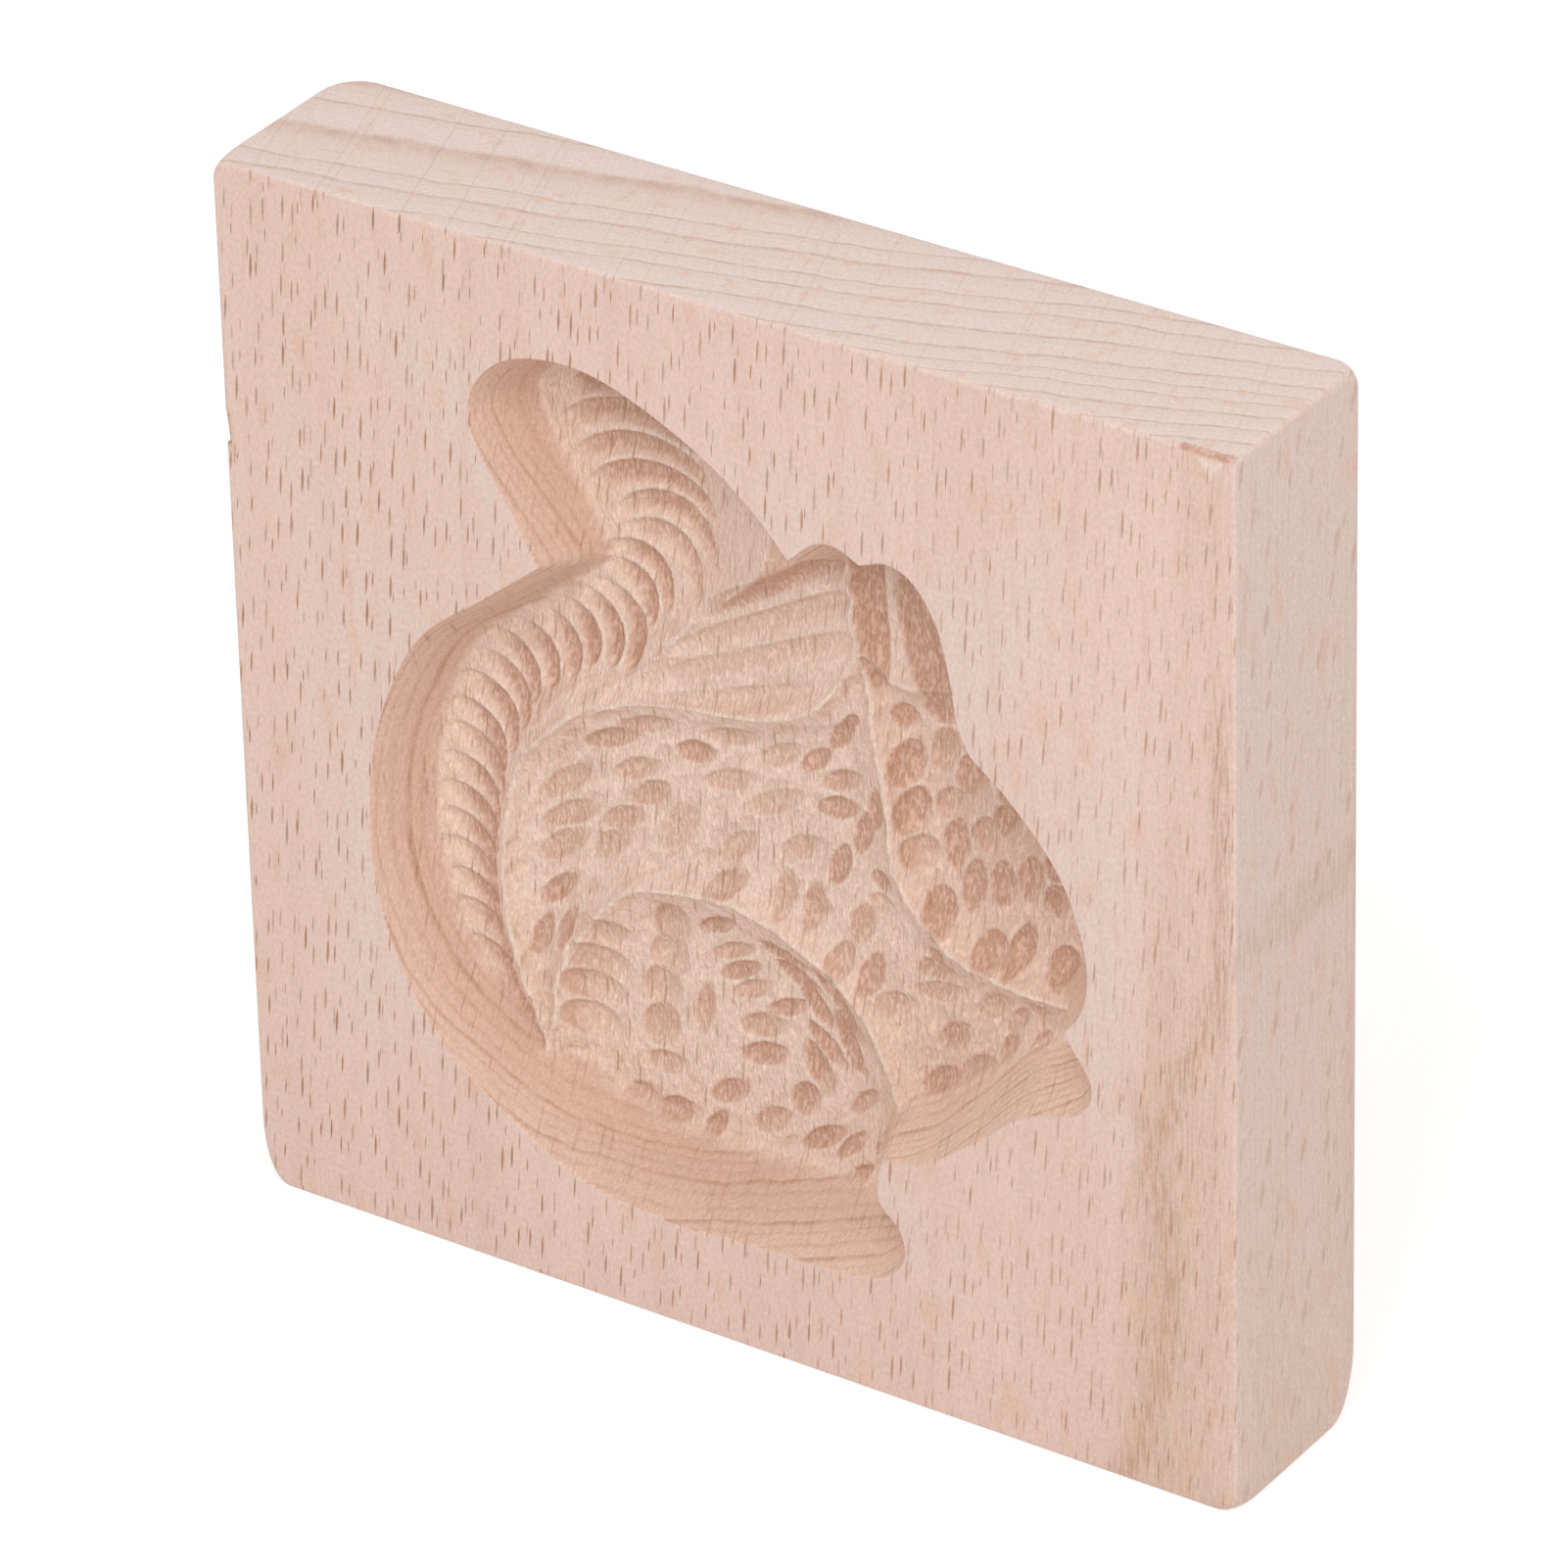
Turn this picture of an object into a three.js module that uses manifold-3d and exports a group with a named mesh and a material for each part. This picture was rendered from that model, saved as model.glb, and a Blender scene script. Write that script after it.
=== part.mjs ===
// Carved cookie mould: one block of beech with a squirrel cut into its front face.
// Millimetres. +X is right seen from the front, +Y goes from the carved front to the
// plain back, +Z is up. The origin is the middle of the bottom, under the block's centre.

import * as THREE from 'three';
import { mergeVertices } from 'three/addons/utils/BufferGeometryUtils.js';
import Module from 'manifold-3d';

const wasm = await Module();
wasm.setup();

// Block

const blockWidth = 105;
const blockHeight = 105;
const blockThickness = 20;
const frontTopLeftRadius = 2.2;
const frontTopRightRadius = 0.8;
const frontBottomRightRadius = 3;
const frontBottomLeftRadius = 3.6;
const frontCornerReach = 4;
const middleCornerRadius = 0.6;
const backTopLeftRadius = 5.5;
const backTopRightRadius = 3;
const backBottomRightRadius = 6;
const backBottomLeftRadius = 5;
const backCornerReach = 4;
const frontEdgeRound = 0.3;
const backEdgeRound = 0.5;

// Bare wood left around the figure

const leftMargin = 13.9;
const rightMargin = 14.6;
const bottomMargin = 10.4;
const topMargin = 10;

// Depths of the carving below the front face

const tailDepth = 6.5;
const tailDish = 0.3;
const bodyDepth = 7.1;
const haunchDepth = 8.2;
const headDepth = 7.7;
const nearEarDepth = 6.4;
const farEarDepth = 6.1;
const footDepth = 6.6;
const ridgeDepth = 5.4;
const haunchRidgeDepth = 5.9;
const earRidgeDepth = 4.5;
const farEarEdgeDepth = 5;

// Slopes of the walls, as depth over run

const wallSlope = 2.4;
const lowerWallSlope = 1.7;
const tailShoulderSlope = 0.5;
const ridgeSlope = 1.1;
const footSlope = 0.4;
const wallFootBlend = 1.6;

// Flutes cut across the tail and along the ears

const fluteCount = 27;
const fluteWidth = 2.9;
const fluteDepth = 1.2;
const nearEarFluteDepth = 0.9;
const farEarFluteDepth = 0.7;

// A flute is deepest left of its line by this share of lean, and narrows to its tips

const fluteLean = 0.35;
const fluteEntryShare = 0.5;
const fluteTipShare = 0.3;

// Flutes fade out over this band beside the rim

const plainRim = 0.8;
const flutedRim = 2.6;

// Where the wall leans back: towards the bottom, and under the paw

const leanBackHeight = { none: 30, full: 16 };
const underPawAcross = { none: 12, full: 22 };
const underPawHeight = { none: 50, full: 40 };

// Fineness of the surface

const carvingGrid = 1;
const curveStep = 1.5;
const fluteBends = 8;
const cornerFacets = 6;
const edgeFacets = 3;
const reachFacets = 4;
const leastRound = 0.3;

// The figure is drawn on a 105 mm block, in millimetres: the first number of a point is
// its place right of the centre line, the second its height above the bottom edge.

const drawing = { left: -38.6, right: 37.9, bottom: 10.4, top: 95 };

// The edge of the carving on the front face, as smooth runs that meet in corners

const tailTip = [
  [-19.1, 73.9], [-21.4, 78], [-25.1, 84.2], [-26, 87.6], [-24.9, 90.8],
  [-22, 93.6], [-16.7, 95], [-11.4, 94.5], [-1.4, 90.1], [4.5, 85.6], [7.4, 82.4],
];
const farEarTip = [[7.4, 82.4], [10.1, 84.8], [12.2, 85.2], [14.8, 84.1]];
const nearEarTip = [
  [14.8, 84.1], [17.4, 85], [19.9, 84.2], [22.4, 80.8], [23.8, 75.9], [24.6, 71.2], [25.8, 68.6],
];
const face = [
  [25.8, 68.6], [30.1, 65.1], [35.1, 58.9], [37.5, 50.9], [36.9, 46.6], [35.1, 43.9],
];
const paw = [
  [35.1, 43.9], [37.9, 38.9], [36.4, 35.9], [30.9, 33.9], [25.6, 29.5], [19.8, 25.4], [15.9, 24.5],
];
const underside = [
  [15.9, 24.5], [15.5, 20.4], [17.8, 17.6], [18.1, 14.9], [15.9, 12.4], [10, 11.2],
  [2.7, 11], [-5.5, 10.4], [-14.9, 11.2], [-21.4, 13.9], [-30.2, 20.1], [-35.5, 27.1],
  [-38.4, 36.8], [-38.4, 46.2], [-36.4, 55.1], [-32, 63.3], [-24.9, 69.2], [-19.1, 73.9],
];

// Ridges left standing between the hollows

const tailRidge = [
  [-24.4, 19.5], [-25.3, 22.4], [-27, 28], [-28.4, 36], [-27.9, 42], [-26.9, 47],
  [-25.2, 50.4], [-22.9, 52.7], [-19, 56.2],
];
const earRidge = [[-19, 56.2], [-14.6, 58.6], [-8.4, 60.1], [1, 61.8], [6.6, 64.8], [10.9, 71.2]];
const faceRidge = [
  [10.9, 71.2], [12.4, 61.2], [13.4, 55.3], [13.9, 50.4], [17, 45.9], [20.8, 43.4], [24.3, 42.7],
  [30.8, 42.4],
];
const haunchRidge = [
  [-24.4, 19.5], [-23, 23.4], [-22.5, 27.6], [-20.7, 31.4], [-18.5, 35], [-14.4, 39.3],
  [-11.8, 40.2], [-7.4, 41], [-3.2, 41.1], [0.5, 40.2], [4.2, 38.6], [8.2, 36], [10.7, 33.1],
  [12.1, 30.4], [13.2, 27.3],
];
const betweenEars = [[10.9, 71.2], [11.2, 75.8], [11.6, 81.6]];

// Hollows: a closed loop, its deepest level, the level of its edge, how far in from the
// edge the floor is reached, and the slope on which the cut leaves the wood outside it

const hollows = [
  {
    loop: [
      ...tailRidge, ...earRidge.slice(1), ...faceRidge.slice(1),
      [37, 43.5], [41, 39], [39, 33], [31, 30], [25, 25.5], [19, 21], [15.5, 22],
      ...haunchRidge.slice(1).reverse(),
    ],
    floor: bodyDepth, edge: ridgeDepth, reach: 4.2, outside: ridgeSlope,
  },
  {
    loop: [
      ...haunchRidge, [15.6, 22.5], [18, 18], [19, 13], [14, 8.5], [-5, 7.5], [-19, 9.5],
    ],
    floor: haunchDepth, edge: haunchRidgeDepth, reach: 6.5, outside: ridgeSlope,
  },
  {
    loop: [
      ...faceRidge, [37, 43.4], [41, 50], [38.5, 60], [33, 67], [28, 71.5], [20, 71],
      [14, 69.8],
    ],
    floor: headDepth, edge: ridgeDepth, reach: 5, outside: ridgeSlope,
  },
  {
    loop: [...betweenEars, [14.5, 87], [19, 88], [24, 85], [27, 78], [27, 68.5], [20, 67.5], [15, 67.8]],
    floor: nearEarDepth, edge: earRidgeDepth, reach: 3.5, outside: ridgeSlope,
  },
  {
    loop: [
      ...earRidge, ...betweenEars.slice(1), [14.2, 87], [9.5, 88], [7, 82], [4.3, 77.2],
      [-0.1, 74.2], [-5.2, 71.1], [-10, 66.5], [-15, 61.2],
    ],
    floor: farEarDepth, edge: farEarEdgeDepth, reach: 3, outside: ridgeSlope,
  },
  {
    loop: [
      [-25.4, 19], [-28.3, 26.5], [-30, 33], [-30, 40], [-29.2, 45], [-27.8, 51], [-25.2, 55.2],
      [-22, 58.7], [-18.6, 60.4], [-15.2, 61.4], [-12.6, 65.4], [-9.5, 69.7], [-7, 73], [-5.4, 77.5],
      [-4.9, 82], [-4.9, 87], [-7, 99], [-20, 99], [-31, 92], [-28, 76], [-42, 60], [-43, 40],
      [-40, 25], [-31, 14],
    ],
    floor: tailDepth + tailDish, edge: tailDepth, reach: 3, outside: tailShoulderSlope,
  },
  {
    loop: [
      [-22, 18], [-10, 18.2], [4, 17.2], [15, 18.2], [20, 16], [17, 9], [0, 7], [-20, 8.5],
    ],
    floor: footDepth, edge: haunchRidgeDepth, reach: 2.6, outside: footSlope,
  },
];

// Stations of the fan of tail flutes, from the tip down: where on the fan the flute lies,
// its start, its end, and how far it bulges to its left as a share of its length

const fluteStations = [
  [0, -19.6, 88.4, -12.4, 89.6, 0.14], [1, -21.1, 84.8, -6.4, 86.4, 0.17],
  [2, -19.9, 81.2, -5.6, 83.5, 0.17], [3, -18.1, 79, -4.6, 80.5, 0.18],
  [4, -15.2, 77.2, -4.4, 76.2, 0.28], [5, -15.1, 75.4, -6.4, 71.2, 0.34],
  [6, -16.1, 73.8, -10, 69.2, 0.34], [7, -16.6, 72, -12.3, 66.8, 0.32],
  [8, -17.6, 70.2, -14.4, 62.2, 0.29], [10, -21.9, 66.8, -18.9, 61.4, 0.24],
  [13, -29.4, 61.6, -24.9, 55.8, 0.2], [16, -33.8, 53, -28.3, 47.6, 0.18],
  [19, -35.3, 44, -29.7, 38.9, 0.17], [22, -35, 35, -29.5, 30.4, 0.17],
  [24, -33.2, 28.6, -27.7, 24.2, 0.17], [26, -29.1, 21.8, -25.2, 18.9, 0.18],
];

// Long flutes of the ears: start, middle, end, width

const farEarFlutes = [
  { path: [[-6.2, 70], [1.8, 75.4], [11.2, 81.2]], width: 3.4 },
  { path: [[-9.5, 65.6], [0, 70.6], [10.8, 77.2]], width: 3.4 },
  { path: [[-12.6, 61.8], [-1.8, 66.4], [10, 72.6]], width: 3.4 },
  { path: [[-15.4, 58.6], [-5, 61.6], [5.5, 66.2]], width: 3 },
];
const nearEarFlutes = [
  { path: [[12.4, 88], [12, 76.6], [13, 67.4]], width: 4.2 },
  { path: [[16.4, 90], [16.9, 77.4], [19.2, 67]], width: 5.4 },
];

// Helpers

const clamp01 = (value) => Math.min(1, Math.max(0, value));

const smoothStep = (from, to, value) => {
  const t = clamp01((value - from) / (to - from));
  return t * t * (3 - 2 * t);
};

const smoothMin = (a, b, blend) => {
  const h = Math.max(blend - Math.abs(a - b), 0) / blend;
  return Math.min(a, b) - (h * h * blend) / 4;
};

function smoothLine(points, closed = false) {
  const knots = points.map(([x, z]) => new THREE.Vector3(x, 0, z));
  const curve = new THREE.CatmullRomCurve3(knots, closed, 'centripetal');
  const steps = Math.max(2, Math.ceil(curve.getLength() / curveStep));
  return curve.getSpacedPoints(steps).map((point) => [point.x, point.z]);
}

// A closed line from smooth runs, each of which starts where the one before it ends
function joinRuns(runs) {
  const points = runs.flatMap((run) => smoothLine(run).slice(1));
  return [points[points.length - 1], ...points];
}

function distanceToLine(x, z, line) {
  let best = Infinity;
  for (let i = 0; i + 1 < line.length; i += 1) {
    const [ax, az] = line[i];
    const [bx, bz] = line[i + 1];
    const ux = bx - ax;
    const uz = bz - az;
    const t = clamp01(((x - ax) * ux + (z - az) * uz) / (ux * ux + uz * uz));
    best = Math.min(best, Math.hypot(x - ax - t * ux, z - az - t * uz));
  }
  return best;
}

function isInside(x, z, loop) {
  let inside = false;
  for (let i = 0, j = loop.length - 1; i < loop.length; j = i, i += 1) {
    const [ax, az] = loop[i];
    const [bx, bz] = loop[j];
    if ((az > z) !== (bz > z) && x < ((bx - ax) * (z - az)) / (bz - az) + ax) inside = !inside;
  }
  return inside;
}

// Positive inside the loop, negative outside
function depthInLoop(x, z, loop) {
  const distance = distanceToLine(x, z, loop);
  return isInside(x, z, loop) ? distance : -distance;
}

// A flute is a scoop along a bent line
function makeFlute(start, middle, end, width, depth) {
  const points = [start, middle, end].map(([x, z]) => new THREE.Vector2(x, z));
  const control = points[1].clone().multiplyScalar(2).sub(points[0].clone().add(points[2]).divideScalar(2));
  const curve = new THREE.QuadraticBezierCurve(points[0], control, points[2]);
  return { line: curve.getSpacedPoints(fluteBends).map((point) => [point.x, point.y]), width, depth };
}

function fluteCut(x, z, flute) {
  const { line, width, depth } = flute;
  let best = Infinity;
  let along = 0;
  let side = 1;
  for (let i = 0; i + 1 < line.length; i += 1) {
    const [ax, az] = line[i];
    const [bx, bz] = line[i + 1];
    const ux = bx - ax;
    const uz = bz - az;
    const t = clamp01(((x - ax) * ux + (z - az) * uz) / (ux * ux + uz * uz));
    const distance = Math.hypot(x - ax - t * ux, z - az - t * uz);
    if (distance < best) {
      best = distance;
      along = (i + t) / (line.length - 1);
      side = Math.sign(ux * (z - az) - uz * (x - ax));
    }
  }
  const taper = fluteTipShare + (1 - fluteTipShare) * Math.sqrt(clamp01(4 * along * (1 - along)));
  const across = (side * best) / ((width / 2) * taper);
  if (Math.abs(across) >= 1) return 0;
  const share = fluteEntryShare + (1 - fluteEntryShare) * along;
  return depth * share * taper * (1 - across * across) * (1 + fluteLean * across);
}

// The numbers of the fan's stations, read between them
function stationAt(index) {
  const next = Math.max(1, fluteStations.findIndex(([number]) => number >= index));
  const before = fluteStations[next - 1];
  const after = fluteStations[next];
  const t = (index - before[0]) / (after[0] - before[0]);
  return before.slice(1).map((value, i) => value + (after[i + 1] - value) * t);
}

function makeTailFlutes() {
  const last = fluteStations[fluteStations.length - 1][0];
  return Array.from({ length: fluteCount }, (unused, number) => {
    const [ax, az, bx, bz, bulge] = stationAt((number * last) / (fluteCount - 1));
    const middle = [(ax + bx) / 2 - (bz - az) * bulge, (az + bz) / 2 + (bx - ax) * bulge];
    return makeFlute([ax, az], middle, [bx, bz], fluteWidth, fluteDepth);
  });
}

// Depth of the carving at a point of the drawing, positive into the wood

const rim = joinRuns([tailTip, farEarTip, nearEarTip, face, paw, underside]);
const hollowLoops = hollows.map((hollow) => ({ ...hollow, line: smoothLine(hollow.loop, true) }));
const flutes = [
  ...makeTailFlutes(),
  ...farEarFlutes.map(({ path, width }) => makeFlute(...path, width, farEarFluteDepth)),
  ...nearEarFlutes.map(({ path, width }) => makeFlute(...path, width, nearEarFluteDepth)),
];

function wallSlopeAt(x, z) {
  const share = ({ none, full }, value) => smoothStep(none, full, value);
  const underPaw = share(underPawAcross, x) * share(underPawHeight, z);
  return wallSlope + (lowerWallSlope - wallSlope) * Math.max(share(leanBackHeight, z), underPaw);
}

function hollowDepth(x, z, { line, floor, edge, reach, outside }) {
  const inward = depthInLoop(x, z, line);
  if (inward <= 0) return edge + inward * outside;
  const rise = 1 - clamp01(inward / reach);
  return edge + (floor - edge) * (1 - rise * rise);
}

function carvingDepth(x, z) {
  const inRim = depthInLoop(x, z, rim);
  const wall = inRim * wallSlopeAt(x, z);
  if (inRim < 0) return wall;
  const floor = Math.max(...hollowLoops.map((hollow) => hollowDepth(x, z, hollow)));
  const cut = Math.max(...flutes.map((flute) => fluteCut(x, z, flute)));
  return smoothMin(wall, floor + cut * smoothStep(plainRim, flutedRim, inRim), wallFootBlend);
}

// Solids

function toManifold(geometry) {
  const bare = geometry.clone();
  bare.deleteAttribute('normal');
  bare.deleteAttribute('uv');
  const merged = mergeVertices(bare, 1e-4);
  const vertProperties = new Float32Array(merged.attributes.position.array);
  const triVerts = new Uint32Array(merged.index.array);
  return new wasm.Manifold(new wasm.Mesh({ numProp: 3, vertProperties, triVerts }));
}

function toGeometry(solid) {
  const { vertProperties, triVerts } = solid.getMesh();
  const geometry = new THREE.BufferGeometry();
  geometry.setAttribute('position', new THREE.BufferAttribute(new Float32Array(vertProperties), 3));
  geometry.setIndex(new THREE.BufferAttribute(new Uint32Array(triVerts), 1));
  geometry.computeVertexNormals();
  return geometry;
}

// One cross-section of the block: a rectangle with its four corners rounded
function blockSection(y, inset, radii) {
  const right = blockWidth / 2 - inset;
  const top = blockHeight - inset;
  const corners = [
    { x: right, z: top, sx: 1, sz: 1, radius: radii.topRight, turn: 0 },
    { x: -right, z: top, sx: -1, sz: 1, radius: radii.topLeft, turn: 1 },
    { x: -right, z: inset, sx: -1, sz: -1, radius: radii.bottomLeft, turn: 2 },
    { x: right, z: inset, sx: 1, sz: -1, radius: radii.bottomRight, turn: 3 },
  ];
  return corners.flatMap(({ x, z, sx, sz, radius, turn }) => {
    const round = Math.max(leastRound, radius - inset);
    return Array.from({ length: cornerFacets + 1 }, (unused, step) => {
      const angle = (turn + step / cornerFacets) * (Math.PI / 2);
      return [x - sx * round + round * Math.cos(angle), y, z - sz * round + round * Math.sin(angle)];
    });
  });
}

// How much of a corner is sanded away at a place along its reach: all of it at the face
function sanding(away, reach) {
  const near = clamp01(1 - away / reach);
  return 1 - Math.sqrt(1 - near * near);
}

// The block is a loft: its edges are eased, its corners run through it almost sharp,
// and close to the front and the back face each corner is sanded round
function makeBlock() {
  const half = blockThickness / 2;
  const arc = Array.from({ length: edgeFacets + 1 }, (unused, step) => (step / edgeFacets) * (Math.PI / 2));
  const eased = (angle, round) => ({ away: round * (1 - Math.cos(angle)), inset: round * (1 - Math.sin(angle)) });
  const steps = (from, to) => {
    const places = Array.from({ length: reachFacets }, (unused, step) => from + ((step + 1) / reachFacets) * (to - from));
    return places.map((away) => ({ away, inset: 0 }));
  };
  const fromFront = [
    ...arc.map((angle) => eased(angle, frontEdgeRound)),
    ...steps(frontEdgeRound, frontCornerReach),
  ];
  const fromBack = [
    ...arc.map((angle) => eased(angle, backEdgeRound)),
    ...steps(backEdgeRound, backCornerReach),
  ];
  const stations = [
    ...fromFront.map(({ away, inset }) => ({ y: away - half, inset })),
    ...fromBack.reverse().map(({ away, inset }) => ({ y: half - away, inset })),
  ];
  const sections = stations.map(({ y, inset }) => {
    const atFront = sanding(half + y, frontCornerReach);
    const atBack = sanding(half - y, backCornerReach);
    const mix = (front, back) =>
      middleCornerRadius + (front - middleCornerRadius) * atFront + (back - middleCornerRadius) * atBack;
    return blockSection(y, inset, {
      topRight: mix(frontTopRightRadius, backTopRightRadius),
      topLeft: mix(frontTopLeftRadius, backTopLeftRadius),
      bottomLeft: mix(frontBottomLeftRadius, backBottomLeftRadius),
      bottomRight: mix(frontBottomRightRadius, backBottomRightRadius),
    });
  });

  const around = sections[0].length;
  const positions = sections.flat(2);
  const faces = [];
  for (let row = 0; row + 1 < sections.length; row += 1) {
    for (let i = 0; i < around; i += 1) {
      const a = row * around + i;
      const b = row * around + ((i + 1) % around);
      faces.push(a, a + around, b, b, a + around, b + around);
    }
  }
  const last = (sections.length - 1) * around;
  for (let i = 1; i + 1 < around; i += 1) {
    faces.push(0, i, i + 1);
    faces.push(last, last + i + 1, last + i);
  }
  const geometry = new THREE.BufferGeometry();
  geometry.setAttribute('position', new THREE.Float32BufferAttribute(positions, 3));
  geometry.setIndex(faces);
  return geometry;
}

// The tool that cuts the carving: a slab in front of the block whose back face has the
// relief of the finished figure
function makeCarvingTool() {
  const overhang = 2;
  const lift = 1.5 * wallSlope * carvingGrid;
  const slab = lift + 1;
  const scaleX = (blockWidth - leftMargin - rightMargin) / (drawing.right - drawing.left);
  const scaleZ = (blockHeight - bottomMargin - topMargin) / (drawing.top - drawing.bottom);
  const left = -blockWidth / 2 + leftMargin;
  const width = (drawing.right - drawing.left + 2 * overhang) * scaleX;
  const height = (drawing.top - drawing.bottom + 2 * overhang) * scaleZ;
  const columns = Math.round(width / carvingGrid);
  const rows = Math.round(height / carvingGrid);
  const tool = new THREE.BoxGeometry(width, slab, height, columns, 1, rows);
  const face = -blockThickness / 2;
  tool.translate(left + width / 2 - overhang * scaleX, face - slab, bottomMargin + height / 2 - overhang * scaleZ);
  const points = tool.attributes.position;
  for (let i = 0; i < points.count; i += 1) {
    if (points.getY(i) > face - slab) {
      const x = drawing.left + (points.getX(i) - left) / scaleX;
      const z = drawing.bottom + (points.getZ(i) - bottomMargin) / scaleZ;
      points.setY(i, face + Math.max(-lift, carvingDepth(x, z)));
    }
  }
  return tool;
}

const beech = new THREE.MeshStandardMaterial({ color: 0xe3c4b4, roughness: 0.62, metalness: 0 });
const carved = toManifold(makeBlock()).subtract(toManifold(makeCarvingTool()));
const mouldBlock = new THREE.Mesh(toGeometry(carved), beech);
mouldBlock.name = 'mould_block';

const cookieMould = new THREE.Group();
cookieMould.add(mouldBlock);

export default cookieMould;
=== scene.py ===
"""Looks of a carved cookie mould: a block of solid beech with a squirrel cut into its front.

The figure is drawn in millimetres on the block's front face: x to the right of the centre
line, z above the bottom edge. The meshes, lights and camera are in metres.
"""
import logging
import math
from dataclasses import dataclass, field
from enum import Enum
from typing import Iterable, Sequence

import bmesh
import bpy
import numpy as np
from mathutils import Matrix, Vector


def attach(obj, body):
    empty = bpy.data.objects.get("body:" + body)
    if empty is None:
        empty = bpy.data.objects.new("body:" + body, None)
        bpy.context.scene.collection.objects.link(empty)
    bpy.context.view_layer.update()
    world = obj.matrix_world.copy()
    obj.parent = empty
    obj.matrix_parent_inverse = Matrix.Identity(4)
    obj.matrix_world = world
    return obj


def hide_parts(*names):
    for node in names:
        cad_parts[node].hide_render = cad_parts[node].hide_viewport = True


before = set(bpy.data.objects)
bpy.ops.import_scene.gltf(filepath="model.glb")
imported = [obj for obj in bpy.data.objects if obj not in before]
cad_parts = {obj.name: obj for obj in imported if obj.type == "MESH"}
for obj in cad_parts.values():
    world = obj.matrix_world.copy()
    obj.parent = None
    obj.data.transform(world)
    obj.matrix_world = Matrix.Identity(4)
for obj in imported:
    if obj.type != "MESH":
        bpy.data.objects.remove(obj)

LOG = logging.getLogger("cookie_mould")
MM = 0.001

Point = tuple[float, float]
Span = tuple[float, float]
Triple = tuple[float, float, float]
Ramp = tuple[float, float, float, float]
Colour = tuple[float, float, float, float]
Socket = bpy.types.NodeSocket
Value = float | tuple | Socket


# Lines and curves of the drawing


class LineKind(Enum):
    """Whether a smooth line ends or runs back into its start."""

    OPEN = "open"
    CLOSED = "closed"


def smooth_step(low: float, high: float, value: np.ndarray) -> np.ndarray:
    """Rises smoothly from 0 at low to 1 at high.

    Args:
        low: Value at which the result is 0.
        high: Value at which the result is 1.
        value: Values to read the step at.

    Returns:
        The step at each value.
    """
    t = np.clip((value - low) / (high - low), 0.0, 1.0)
    return t * t * (3.0 - 2.0 * t)


def smooth_min(a: np.ndarray, b: np.ndarray, blend: float) -> np.ndarray:
    """The lesser of two surfaces, rounded where they meet.

    Args:
        a: First surface.
        b: Second surface.
        blend: How close the two come before the rounding starts.

    Returns:
        The joined surface.
    """
    h = np.maximum(blend - np.abs(a - b), 0.0) / blend
    return np.minimum(a, b) - h * h * blend / 4.0


def smooth_line(points: Sequence[Point], kind: LineKind = LineKind.OPEN, step: float = 0.6) -> np.ndarray:
    """Draws a smooth line through a few points.

    Args:
        points: Points that the line passes through.
        kind: Whether the line ends or closes.
        step: Greatest length of the straight pieces that make it up.

    Returns:
        The line's points, one row each.
    """
    knots = np.asarray(points, float)
    if kind is LineKind.CLOSED:
        knots = np.vstack([knots[-1], knots, knots[0], knots[1]])
    else:
        knots = np.vstack([2 * knots[0] - knots[1], knots, 2 * knots[-1] - knots[-2]])
    pieces = []
    for p0, p1, p2, p3 in zip(knots, knots[1:], knots[2:], knots[3:]):
        t1 = math.sqrt(np.linalg.norm(p1 - p0))
        t2 = t1 + math.sqrt(np.linalg.norm(p2 - p1))
        t3 = t2 + math.sqrt(np.linalg.norm(p3 - p2))
        count = max(1, math.ceil(np.linalg.norm(p2 - p1) / step))
        t = (t1 + (t2 - t1) * np.arange(count) / count)[:, None]
        a1 = (p0 * (t1 - t) + p1 * t) / t1
        a2 = (p1 * (t2 - t) + p2 * (t - t1)) / (t2 - t1)
        a3 = (p2 * (t3 - t) + p3 * (t - t2)) / (t3 - t2)
        b1 = (a1 * (t2 - t) + a2 * t) / t2
        b2 = (a2 * (t3 - t) + a3 * (t - t1)) / (t3 - t1)
        pieces.append((b1 * (t2 - t) + b2 * (t - t1)) / (t2 - t1))
    pieces.append(knots[-2][None, :])
    return np.vstack(pieces)


def nearest(x: np.ndarray, z: np.ndarray, line: np.ndarray) -> tuple[np.ndarray, np.ndarray, np.ndarray]:
    """Finds how far each place is from a line.

    Args:
        x: Places across.
        z: Places up.
        line: The line's points.

    Returns:
        The distance, how far along the line its nearest point lies, from 0 to 1, and
        1 to the left of the line or -1 to its right.
    """
    best = np.full(x.shape, np.inf)
    along = np.zeros(x.shape)
    side = np.ones(x.shape)
    for number, ((ax, az), (bx, bz)) in enumerate(zip(line, line[1:])):
        ux, uz = bx - ax, bz - az
        t = np.clip(((x - ax) * ux + (z - az) * uz) / (ux * ux + uz * uz), 0.0, 1.0)
        distance = np.hypot(x - ax - t * ux, z - az - t * uz)
        closer = distance < best
        best[closer] = distance[closer]
        along[closer] = number + t[closer]
        side[closer] = np.sign(ux * (z - az) - uz * (x - ax))[closer]
    return best, along / (len(line) - 1), side


def depth_in_loop(x: np.ndarray, z: np.ndarray, loop: np.ndarray) -> np.ndarray:
    """Distance to a closed line, positive inside it.

    Args:
        x: Places across.
        z: Places up.
        loop: The closed line's points.

    Returns:
        The signed distance.
    """
    inside = np.zeros(x.shape, bool)
    for (ax, az), (bx, bz) in zip(loop, loop[1:]):
        if az != bz:
            crosses = (az > z) != (bz > z)
            inside ^= crosses & (x < (bx - ax) * (z - az) / (bz - az) + ax)
    distance = nearest(x, z, loop)[0]
    return np.where(inside, distance, -distance)


# The carver's cuts


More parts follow.
